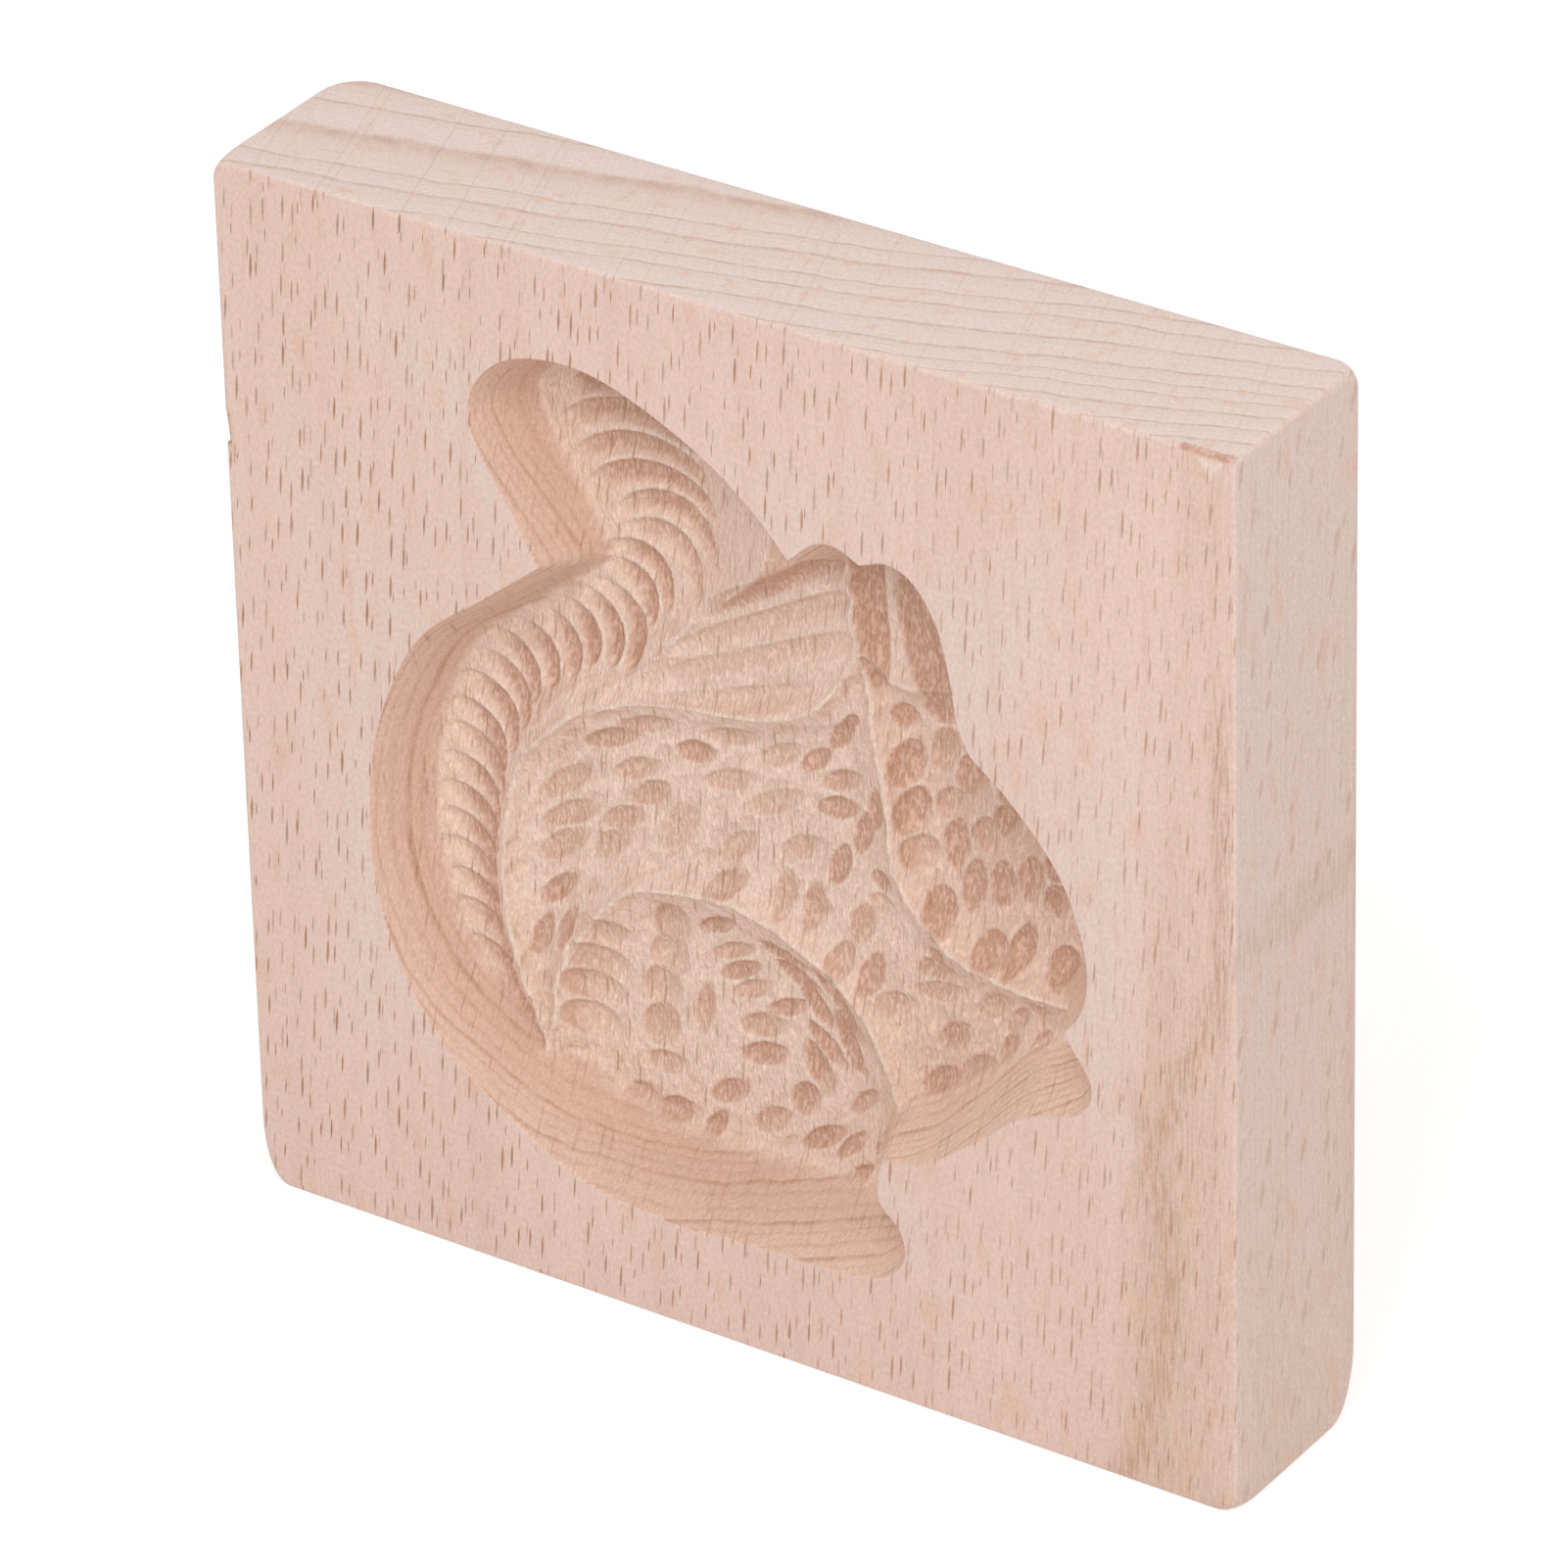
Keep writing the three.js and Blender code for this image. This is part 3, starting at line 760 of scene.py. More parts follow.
@dataclass
class NodeBoard:
    """Places shader nodes on a tree and wires them."""

    tree: bpy.types.NodeTree

    def node(self, kind: str, inputs: dict | None = None, **settings) -> bpy.types.Node:
        """Adds a node.

        Args:
            kind: Blender's name of the node.
            inputs: What goes into its sockets: values or other nodes' sockets.
            **settings: The node's own properties.

        Returns:
            The node.
        """
        made = self.tree.nodes.new(kind)
        made.location = (200 * (len(self.tree.nodes) % 12), -220 * (len(self.tree.nodes) // 12))
        for name, value in settings.items():
            setattr(made, name, value)
        for key, value in (inputs or {}).items():
            self.feed(made.inputs[key], value)
        return made

    def feed(self, socket: Socket, value: Value) -> None:
        """Puts a value or another node's socket into a socket.

        Args:
            socket: The socket to feed.
            value: A value, or the socket to link from.
        """
        if isinstance(value, bpy.types.NodeSocket):
            self.tree.links.new(value, socket)
        else:
            socket.default_value = value

    def math(self, operation: str, a: Value, b: Value = 0.0, c: Value = 0.0) -> Socket:
        """Adds a sum.

        Args:
            operation: Blender's name of the sum.
            a: First number.
            b: Second number.
            c: Third number.

        Returns:
            The result's socket.
        """
        made = self.tree.nodes.new("ShaderNodeMath")
        made.operation = operation
        for socket, value in zip(made.inputs, (a, b, c)):
            self.feed(socket, value)
        return made.outputs[0]

    def times(self, first: Value, *others: Value) -> Socket:
        """Multiplies two or more numbers.

        Args:
            first: First number.
            *others: The numbers that follow.

        Returns:
            The product's socket.
        """
        for other in others:
            first = self.math("MULTIPLY", first, other)
        return first

    def between(self, a: Value, b: Value) -> Socket:
        """Adds how far apart two numbers are.

        Args:
            a: First number.
            b: Second number.

        Returns:
            The distance's socket.
        """
        return self.math("ABSOLUTE", self.math("SUBTRACT", a, b))

    def step(self, value: Value, low: float, high: float, start: Value = 0.0, end: Value = 1.0) -> Socket:
        """Adds a smooth step from one value to another.

        Args:
            value: What the step reads.
            low: Where the step starts.
            high: Where the step ends.
            start: Result at the start.
            end: Result at the end.

        Returns:
            The result's socket.
        """
        inputs = {"Value": value, "From Min": low, "From Max": high, "To Min": start, "To Max": end}
        return self.node("ShaderNodeMapRange", inputs, interpolation_type="SMOOTHSTEP").outputs[0]

    def mix(self, share: Value, a: Value, b: Value, blend: str = "MIX") -> Socket:
        """Mixes two colours.

        Args:
            share: How much of the second colour.
            a: First colour.
            b: Second colour.
            blend: Blender's name of the way they mix.

        Returns:
            The colour's socket.
        """
        made = self.tree.nodes.new("ShaderNodeMix")
        made.data_type = "RGBA"
        made.blend_type = blend
        for number, value in ((0, share), (6, a), (7, b)):
            self.feed(made.inputs[number], value)
        return made.outputs[2]

    def vector(self, x: Value, y: Value, z: Value) -> Socket:
        """Joins three numbers into a vector.

        Args:
            x: First number.
            y: Second number.
            z: Third number.

        Returns:
            The vector's socket.
        """
        return self.node("ShaderNodeCombineXYZ", {"X": x, "Y": y, "Z": z}).outputs[0]

    def noise(
        self, place: Sequence[Value], rates: Triple, detail: float = 1.0, rough: float = 0.5
    ) -> Socket:
        """Adds a noise between 0 and 1.

        Args:
            place: Where the noise is read, as three numbers.
            rates: Patches per unit of each of them.
            detail: How many finer layers it has.
            rough: How strong the finer layers are.

        Returns:
            The noise's socket.
        """
        spot = self.vector(*(self.math("MULTIPLY", number, rate) for number, rate in zip(place, rates)))
        inputs = {"Vector": spot, "Scale": 1.0, "Detail": detail, "Roughness": rough}
        return self.node("ShaderNodeTexNoise", inputs).outputs["Fac"]

    def attribute(self, name: str) -> Socket:
        """Reads a number that the mesh carries.

        Args:
            name: The attribute's name.

        Returns:
            The number's socket.
        """
        return self.node("ShaderNodeAttribute", attribute_name=name).outputs["Fac"]

    def put_out(self, masks: dict[str, Value]) -> None:
        """Gives the group an output for each mask.

        Args:
            masks: The masks by name.
        """
        for name in masks:
            self.tree.interface.new_socket(name=name, in_out="OUTPUT", socket_type="NodeSocketFloat")
        self.node("NodeGroupOutput", masks)


# Beech


@dataclass(frozen=True)
class Vein:
    """A brown vein beside the right edge, on a line that leans or bows on its way up."""

    foot: float
    lean: float
    bow: float
    half: float
    low: float
    high: float
    peak: float = 22.0
    core: float = 0.1
    fade_below: float = 8.0
    fade_above: float = 12.0

    def mask(self, board: NodeBoard, x: Value, z: Value) -> Socket:
        """Where the vein shows.

        Args:
            board: Where the nodes go.
            x: Place across.
            z: Place up.

        Returns:
            The mask of the vein.
        """
        rise = board.math("SUBTRACT", z, self.peak)
        middle = board.math("MULTIPLY_ADD", z, self.lean, self.foot)
        middle = board.math("MULTIPLY_ADD", board.times(rise, rise), self.bow, middle)
        return board.times(
            board.step(board.between(x, middle), self.half, self.core),
            board.step(z, self.low, self.low + self.fade_below),
            board.step(z, self.high, self.high - self.fade_above),
        )


@dataclass(frozen=True)
class BeechFigure:
    """How the wood grew: rings, rays and fibres of a flat-sawn beech board.

    Lengths are in millimetres. Rates are a noise's patches per millimetre across, from front
    to back and up. A span is where a smooth step starts and ends, and a ramp adds its values
    at the start and the end.
    """

    ring_slope: float = 0.26
    ring_bow: float = 0.001
    ring_width: float = 3.3
    ring_spread: float = 0.0035
    ring_wander: tuple[tuple[float, Triple], ...] = (
        (3.0, (1 / 22, 1 / 22, 1 / 110)),
        (1.0, (1 / 5, 1 / 5, 1 / 22)),
        (0.34, (1 / 1.7, 1 / 1.7, 1 / 7)),
    )
    ring_unevenness: float = 1.6
    ring_uneven_place: float = 3.1
    ring_uneven_rates: Triple = (1 / 6, 1.0, 1.0)
    line_start: Span = (0.78, 0.93)
    line_end: Span = (1.0, 0.94)
    shade_start: Span = (0.2, 0.93)
    fine_lines: float = 3.0
    fine_start: Span = (0.5, 0.85)
    fine_end: Span = (1.0, 0.88)
    streak_foot: float = 46.6
    streak_lean: float = 0.028
    streak_half: float = 6.8
    streak_taper: float = -0.043
    streak_edge: Span = (1.3, 0.5)
    streak_strength: Ramp = (100.0, 15.0, 0.6, 1.0)
    veins: tuple[Vein, ...] = (
        Vein(46.3, 0.0, -0.011, 2.2, -6.0, 46.0),
        Vein(32.2, 0.36, 0.0, 2.0, 26.0, 64.0),
        Vein(51.6, 0.0, 0.0, 1.6, 44.0, 88.0),
    )
    vein_wave: float = 1.2
    vein_rates: Triple = (1 / 2, 1.0, 1 / 6)
    ray_slope: float = 0.34
    fibre_lean: float = 0.07
    ray_wave: float = 0.8
    ray_wave_rates: Triple = (1 / 9, 1 / 9, 1 / 30)
    ray_gap: float = 1.22
    ray_step: float = 4.0
    ray_half_width: float = 0.14
    ray_half_height: float = 1.3
    ray_edge: float = 0.6
    ray_least_size: float = 0.5
    ray_size_spread: float = 0.9
    ray_least_strength: float = 0.4
    ray_strength_spread: float = 0.6
    ray_strength_across: Ramp = (-10.0, 40.0, 1.15, 0.75)
    fibre_rates: Triple = (4.0, 4.0, 0.3)
    torn_rates: Triple = (3.6, 1.6, 1.1)
    pore_rates: Triple = (3.2, 3.2, 2.0)
    spot_rates: Triple = (1 / 2.4, 1 / 2.4, 1 / 7)
    cloud_rates: Triple = (1 / 14, 1 / 14, 1 / 60)
    # How much of the walls' colour shows: painted shade that deepens down the wall, less on the right and
    # at the far left
    wall_shade_by_depth: Ramp = (-10.0, -4.5, 0.62, 0.92)
    wall_shade_to_right: Ramp = (-4.0, 24.0, 1.0, 0.4)
    wall_shade_at_left: Ramp = (-38.0, -26.0, 0.8, 1.0)
    top_chip: float = 49.7
    top_chip_ends: Span = (3.0, 2.4)
    top_edge: Span = (104.5, 104.7)
    left_chip: float = 78.4
    left_chip_ends: Span = (1.9, 1.4)
    left_edge: Span = (-51.7, -52.1)
    front_edge: Span = (-9.2, -9.5)
    # A painted highlight on the dent under the top chip
    dent_highlight_middle: float = 50.1
    dent_highlight_foot: float = 102.2
    dent_highlight_spread: float = 0.8
    dent_highlight_side: Span = (0.0, 0.7)
    dent_highlight_top: Span = (104.5, 104.3)
    dent_highlight_skin: Span = (-9.7, -9.95)

    def group(self) -> bpy.types.NodeTree:
        """Builds the node group that puts out the wood's masks.

        Returns:
            The group: a place in metres in, and masks of the rings, rays, fibres, streak,
            edge damage, a painted highlight on a dent, and the carved walls' colour with painted shade out.
        """
        tree = bpy.data.node_groups.new("beech_figure", "ShaderNodeTree")
        tree.interface.new_socket(name="Place", in_out="INPUT", socket_type="NodeSocketVector")
        board = NodeBoard(tree)
        entry = board.node("NodeGroupInput")
        to_mm = {0: entry.outputs["Place"], "Scale": 1 / MM}
        scaled = board.node("ShaderNodeVectorMath", to_mm, operation="SCALE").outputs[0]
        place = tuple(board.node("ShaderNodeSeparateXYZ", {0: scaled}).outputs)
        x, y, z = place
        rings, fine_rings, ring_shade = self._rings(board, x, y, z)
        chipped, dent_highlight = self._flaws(board, x, y, z)
        board.put_out({
            "Rings": rings,
            "Fine rings": fine_rings,
            "Ring shade": ring_shade,
            "Streak": self._streak(board, x, z),
            "Veins": self._brown_veins(board, x, z),
            "Rays": self._rays(board, x, y, z),
            "Fibre": board.noise(place, self.fibre_rates, 3.0, 0.6),
            "Torn": board.noise(place, self.torn_rates, 2.0, 0.6),
            "Pores": board.noise(place, self.pore_rates),
            "Spots": board.noise(place, self.spot_rates, 2.0),
            "Clouds": board.noise(place, self.cloud_rates, 2.0),
            "Chipped": chipped,
            "Dent highlight": dent_highlight,
            # The walls' colour: the cut wood's own colour, with painted shade deeper down the wall
            "Wall colour and shade": board.times(
                board.step(y, *self.wall_shade_by_depth),
                board.step(x, *self.wall_shade_to_right),
                board.step(x, *self.wall_shade_at_left),
            ),
        })
        return tree

    def _rings(self, board: NodeBoard, x: Value, y: Value, z: Value) -> tuple[Socket, Socket, Socket]:
        """Growth rings as layers that run back to the right.

        Args:
            board: Where the nodes go.
            x: Place across.
            y: Place from front to back.
            z: Place up.

        Returns:
            The thin dark lines, finer lines between them, and the slow shade towards each.
        """
        run = board.math("MULTIPLY_ADD", x, self.ring_slope, board.times(x, x, self.ring_bow))
        radius = board.math("SUBTRACT", y, run)
        for reach, rates in self.ring_wander:
            radius = board.math("MULTIPLY_ADD", board.noise((x, y, z), rates), reach, radius)
        rate = board.math("MULTIPLY_ADD", radius, -self.ring_spread, 1 / self.ring_width)
        uneven = board.noise((radius, self.ring_uneven_place, 0.0), self.ring_uneven_rates, 0.0)
        turns = board.math("MULTIPLY_ADD", radius, rate, board.times(uneven, self.ring_unevenness))
        share = board.math("FRACT", turns)
        fall = board.step(share, *self.line_end)
        lines = board.times(board.step(share, *self.line_start), fall)
        shade = board.times(board.step(share, *self.shade_start), fall)
        between = board.math("FRACT", board.times(turns, self.fine_lines))
        fine = board.times(board.step(between, *self.fine_start), board.step(between, *self.fine_end))
        return lines, fine, shade

    def _streak(self, board: NodeBoard, x: Value, z: Value) -> Socket:
        """A tan streak that runs up the wood beside the right edge, wider at the bottom.

        Args:
            board: Where the nodes go.
            x: Place across.
            z: Place up.

        Returns:
            The mask of the streak.
        """
        middle = board.math("MULTIPLY_ADD", z, self.streak_lean, self.streak_foot)
        half = board.math("MULTIPLY_ADD", z, self.streak_taper, self.streak_half)
        share = board.math("DIVIDE", board.between(x, middle), half)
        return board.times(board.step(share, *self.streak_edge), board.step(z, *self.streak_strength))

    def _brown_veins(self, board: NodeBoard, x: Value, z: Value) -> Socket:
        """The brown veins in the streak, all on one wavy course.

        Args:
            board: Where the nodes go.
            x: Place across.
            z: Place up.

        Returns:
            The mask of the veins.
        """
        wave = board.noise((x, 0.0, z), self.vein_rates)
        waved = board.math("MULTIPLY_ADD", wave, self.vein_wave, x)
        shown = 0.0
        for vein in self.veins:
            shown = board.math("MAXIMUM", shown, vein.mask(board, waved, z))
        return shown

    def _flaws(self, board: NodeBoard, x: Value, y: Value, z: Value) -> tuple[Socket, Socket]:
        """Damage at the block's front edges: two chips, and a painted highlight on the dent under the upper
        one.

        Args:
            board: Where the nodes go.
            x: Place across.
            y: Place from front to back.
            z: Place up.

        Returns:
            The masks of the chips and of the painted highlight.
        """
        along_top = board.step(board.between(x, self.top_chip), *self.top_chip_ends)
        along_left = board.step(board.between(z, self.left_chip), *self.left_chip_ends)
        top_chip = board.times(along_top, board.step(z, *self.top_edge))
        left_chip = board.times(along_left, board.step(x, *self.left_edge))
        either = board.math("MAXIMUM", top_chip, left_chip)
        half = board.times(board.math("SUBTRACT", z, self.dent_highlight_foot), self.dent_highlight_spread)
        inside = board.math("SUBTRACT", half, board.between(x, self.dent_highlight_middle))
        dent_highlight = board.times(
            board.step(inside, *self.dent_highlight_side),
            board.step(z, *self.dent_highlight_top),
            board.step(y, *self.dent_highlight_skin),
        )
        return board.times(either, board.step(y, *self.front_edge)), dent_highlight

    def _rays(self, board: NodeBoard, x: Value, y: Value, z: Value) -> Socket:
        """Rays: thin upright spindles on the faces, fine lines across the end grain.

        Args:
            board: Where the nodes go.
            x: Place across.
            y: Place from front to back.
            z: Place up.

        Returns:
            The mask of the rays.
        """
        side = board.math("MULTIPLY_ADD", y, self.ray_slope, x)
        side = board.math("MULTIPLY_ADD", z, -self.fibre_lean, side)
        side = board.math("MULTIPLY_ADD", board.noise((x, y, z), self.ray_wave_rates), self.ray_wave, side)
        across, up = board.math("DIVIDE", side, self.ray_gap), board.math("DIVIDE", z, self.ray_step)
        cell = {"Vector": board.vector(across, up, 0.0), "Scale": 1.0}
        spots = board.node("ShaderNodeTexVoronoi", cell, voronoi_dimensions="2D")
        spot = board.node("ShaderNodeSeparateXYZ", {0: spots.outputs["Position"]}).outputs
        chance = board.node("ShaderNodeSeparateColor", {0: spots.outputs["Color"]}).outputs
        size = board.math("MULTIPLY_ADD", chance[0], self.ray_size_spread, self.ray_least_size)
        off = board.math("DIVIDE", board.between(across, spot[0]), size)
        off = board.times(off, self.ray_gap / self.ray_half_width)
        along = board.math("DIVIDE", board.math("SUBTRACT", up, spot[1]), size)
        along = board.times(along, self.ray_step / self.ray_half_height)
        lens = board.math("SUBTRACT", 1.0, board.math("MULTIPLY_ADD", along, along, off))
        strength = board.math("MULTIPLY_ADD", chance[1], self.ray_strength_spread, self.ray_least_strength)
        return board.times(
            board.step(lens, 0.0, self.ray_edge), strength, board.step(x, *self.ray_strength_across)
        )


@dataclass(frozen=True)
class BeechFinish:
    """Bare planed beech, darker and rougher where the cutter went through the end grain, with painted shade
    and painted highlights in the carving.

    A span is where a mask's smooth step starts and ends. A ramp adds the share of colour, or
    the tone, at its start and its end.
    """

    wood: Colour = (0.80, 0.592, 0.505, 1.0)
    side_grain: Colour = (0.79, 0.615, 0.54, 1.0)
    end_grain: Colour = (0.80, 0.648, 0.578, 1.0)
    late_wood: Colour = (0.66, 0.45, 0.36, 1.0)
    ring_line: Colour = (0.52, 0.29, 0.19, 1.0)
    ray: Colour = (0.43, 0.215, 0.13, 1.0)
    spot: Colour = (0.76, 0.47, 0.33, 1.0)
    tan: Colour = (0.665, 0.475, 0.36, 1.0)
    # Paler colour of the whole carving: fresh-cut wood, and painted light that makes up for the shade in
    # the hollow
    carved_wood_lightened: Colour = (0.90, 0.665, 0.54, 1.0)
    # Painted highlight: the pale colour put on the crests and on the dent under the top chip
    painted_highlight: Colour = (0.95, 0.79, 0.68, 1.0)
    # Colour of the carved walls: the cut wood's own colour, and painted shade
    wall_wood_and_shade: Colour = (0.67, 0.44, 0.33, 1.0)
    # Colour of torn wood at the chips, and of the tool marks, where it is also painted shade
    torn_wood_and_shade: Colour = (0.47, 0.205, 0.105, 1.0)
    torn_edge: Span = (0.35, 0.65)
    end_edge: Span = (0.6, 0.95)
    side_edge: Span = (0.15, 0.8)
    cut_edge: Span = (0.1, 0.5)
    wall_edge: Span = (0.0, 0.55)
    ray_wall: Span = (0.2, 0.6)
    clouds: Ramp = (0.35, 0.75, 0.0, 0.2)
    spots: Ramp = (0.56, 0.72, 0.0, 0.4)
    tan_by_cloud: Ramp = (0.3, 0.6, 0.45, 0.9)
    tan_by_fibre: Ramp = (0.35, 0.62, 1.15, 0.5)
    tan_on_end: Ramp = (0.0, 0.5, 1.0, 0.0)
    vein_by_fibre: Ramp = (0.38, 0.58, 0.55, 0.14)
    chip_by_torn: Ramp = (0.0, 1.0, 0.65, 0.3)
    dent_highlight_share: float = 0.4
    carved_share: float = 0.8
    shade_on_end: Ramp = (0.0, 1.0, 0.03, 0.15)
    lines_on_cut: Ramp = (0.0, 1.0, 0.04, 0.4)
    lines_on_carved: Ramp = (0.0, 1.0, 1.0, 1.15)
    line_breaks: Ramp = (0.34, 0.6, 1.2, 0.55)
    fine_on_wall: Ramp = (0.1, 0.6, 0.06, 0.32)
    marks_by_torn: Ramp = (0.0, 1.0, 0.68, 0.4)
    crest_highlight: Ramp = (0.03, 0.3, 0.0, 0.5)
    rays_on_end: Ramp = (0.0, 1.0, 0.9, 0.18)
    rays_on_carved: Ramp = (0.0, 1.0, 1.0, 0.6)
    rays_on_side: Ramp = (0.5, 0.95, 1.0, 0.5)
    ray_breaks: Ramp = (0.34, 0.6, 1.0, 0.35)
    fibre_tone: Ramp = (0.3, 0.7, 0.965, 1.01)
    pore_tone: Ramp = (0.3, 0.7, 0.935, 1.045)
    torn_tone: Ramp = (0.0, 1.0, -0.045, 0.045)
    fibre_height: float = 0.25
    bump_strength: float = 0.8
    bump_distance: float = 0.00013
    roughness: float = 0.62
    specular: float = 0.25
    figure: BeechFigure = field(default_factory=BeechFigure)

    def material(self) -> bpy.types.Material:
        """Builds the beech.

        Returns:
            The material.
        """
        made = bpy.data.materials.new("beech")
        made.use_nodes = True
        board = NodeBoard(made.node_tree)
        shader = made.node_tree.nodes["Principled BSDF"]
        place = board.node("ShaderNodeTexCoord").outputs["Object"]
        wood = board.node("ShaderNodeGroup", {"Place": place}, node_tree=self.figure.group()).outputs
        carved, steep = board.attribute("carved"), board.attribute("steep_cut")
        torn = board.step(wood["Torn"], *self.torn_edge)
        rough = board.math("SUBTRACT", carved, steep)
        tone = board.times(
            board.step(wood["Fibre"], *self.fibre_tone),
            board.step(wood["Pores"], *self.pore_tone),
            board.math("MULTIPLY_ADD", board.step(torn, *self.torn_tone), rough, 1.0),
        )
        colour = self._colour(board, wood, torn, carved, steep)
        colour = board.mix(1.0, colour, board.vector(tone, tone, tone), "MULTIPLY")
        board.feed(shader.inputs["Base Color"], colour)
        height = board.math("MULTIPLY_ADD", wood["Fibre"], self.fibre_height, board.times(torn, rough))
        bump = {"Strength": self.bump_strength, "Distance": self.bump_distance, "Height": height}
        board.feed(shader.inputs["Normal"], board.node("ShaderNodeBump", bump).outputs["Normal"])
        shader.inputs["Roughness"].default_value = self.roughness
        shader.inputs["Specular IOR Level"].default_value = self.specular
        return made

    def _colour(
        self, board: NodeBoard, wood: bpy.types.NodeOutputs, torn: Value, carved: Value, steep: Value
    ) -> Socket:
        """Lays the wood's colours over each other.

        Args:
            board: Where the nodes go.
            wood: The outputs of the wood's node group.
            torn: The mask of the torn fibres.
            carved: 1 in the carving, 0 on the block's own faces.
            steep: How steep the carving is.

        Returns:
            The colour before its fine tone.
        """
        plain = board.math("SUBTRACT", 1.0, carved)
        sawn_end = board.times(board.step(board.attribute("end_grain"), *self.end_edge), plain)
        side = board.attribute("side_grain")
        cut = board.math("MAXIMUM", sawn_end, board.step(steep, *self.cut_edge))
        line_breaks = board.step(wood["Spots"], *self.line_breaks)
        ray_breaks = board.step(wood["Spots"], *self.ray_breaks)
        tan = board.times(
            board.step(wood["Clouds"], *self.tan_by_cloud),
            board.step(wood["Fibre"], *self.tan_by_fibre),
            board.step(sawn_end, *self.tan_on_end),
        )
        lines = board.times(
            board.step(cut, *self.lines_on_cut), board.step(carved, *self.lines_on_carved)
        )
        rays = board.times(
            board.step(sawn_end, *self.rays_on_end),
            board.step(carved, *self.rays_on_carved),
            board.step(steep, *self.ray_wall, 1.0, ray_breaks),
            board.step(side, *self.rays_on_side),
        )
        veins = board.times(wood["Veins"], board.step(wood["Fibre"], *self.vein_by_fibre), plain)
        fine = board.times(wood["Fine rings"], line_breaks, board.step(steep, *self.fine_on_wall))
        # Tool marks: torn wood's darker colour, with painted shade on the side of each flute and gouge
        # turned from the light
        marks = board.times(board.attribute("tool_marks_and_shade"), board.step(torn, *self.marks_by_torn))
        layers = (
            (board.step(wood["Clouds"], *self.clouds), self.late_wood),
            (sawn_end, self.end_grain),
            (board.step(side, *self.side_edge), self.side_grain),
            (board.times(wood["Streak"], tan), self.tan),
            (veins, self.ring_line),
            (board.times(board.step(wood["Spots"], *self.spots), plain), self.spot),
            # Painted highlight on the dent under the top chip
            (board.times(wood["Dent highlight"], self.dent_highlight_share), self.painted_highlight),
            (board.times(wood["Chipped"], board.step(torn, *self.chip_by_torn)), self.torn_wood_and_shade),
            # The carving painted paler: fresh-cut wood, and painted light against the shade in the hollow
            (board.times(carved, self.carved_share), self.carved_wood_lightened),
            (board.times(wood["Ring shade"], board.step(sawn_end, *self.shade_on_end)), self.late_wood),
            # Walls: the cut wood's own colour, with painted shade that deepens down the wall
            (board.times(board.step(steep, *self.wall_edge), wood["Wall colour and shade"]), self.wall_wood_and_shade),
            (board.times(wood["Rings"], lines, line_breaks), self.ring_line),
            (fine, self.ring_line),
            (marks, self.torn_wood_and_shade),
            # Painted highlight along the crests between the hollows and the flutes
            (board.step(board.attribute("crest_highlight"), *self.crest_highlight), self.painted_highlight),
            (board.times(wood["Rays"], rays), self.ray),
        )
        colour = self.wood
        for share, layer in layers:
            colour = board.mix(share, colour, layer)
        return colour


# The block


@dataclass
class Relief:
    """The carving read on a regular grid, in millimetres on the block's front face."""

    left: float
    low: float
    step_across: float
    step_up: float
    depth: np.ndarray
    stain_and_shade: np.ndarray

    def crest(self, reach: float = 0.7, below_rim: Span = (2.5, 4.0)) -> np.ndarray:
        """Tells the crests from the grooves.

        Args:
            reach: How far round each place its surroundings are averaged.
            below_rim: Depths between which crests start to count, clear of the wall's top edge.

        Returns:
            How much each place stands above its surroundings.
        """
        around = np.maximum(self.depth, 0.0)
        for axis, step in ((0, self.step_up), (1, self.step_across)):
            shifts = range(-round(reach / step), round(reach / step) + 1)
            around = np.mean([np.roll(around, shift, axis) for shift in shifts], axis=0)
        return (around - np.maximum(self.depth, 0.0)) * smooth_step(*below_rim, self.depth)

    def read(self, grid: np.ndarray, x: np.ndarray, z: np.ndarray) -> np.ndarray:
        """Reads a grid between its points.

        Args:
            grid: Values at the grid's points.
            x: Places across.
            z: Places up.

        Returns:
            The value at each place.
        """
        rows, columns = grid.shape
        last_cell = 1.001
        u = np.clip((x - self.left) / self.step_across, 0, columns - last_cell)
        v = np.clip((z - self.low) / self.step_up, 0, rows - last_cell)
        i, j = u.astype(int), v.astype(int)
        fu, fv = u - i, v - j
        lower = grid[j, i] * (1 - fu) + grid[j, i + 1] * fu
        upper = grid[j + 1, i] * (1 - fu) + grid[j + 1, i + 1] * fu
        return lower * (1 - fv) + upper * fv


def cut_away(block: bpy.types.Object, tool: bpy.types.Object, name: str) -> None:
    """Cuts a solid out of the block and throws the solid away.

    Args:
        block: The block, which becomes the active object.
        tool: The solid that cuts.
        name: What the cut is called.
    """
    bpy.context.view_layer.objects.active = block
    cut = block.modifiers.new(name, "BOOLEAN")
    cut.operation = "DIFFERENCE"
    cut.solver = "MANIFOLD"
    cut.object = tool
    bpy.ops.object.modifier_apply(modifier=cut.name)
    bpy.data.objects.remove(tool, do_unlink=True)


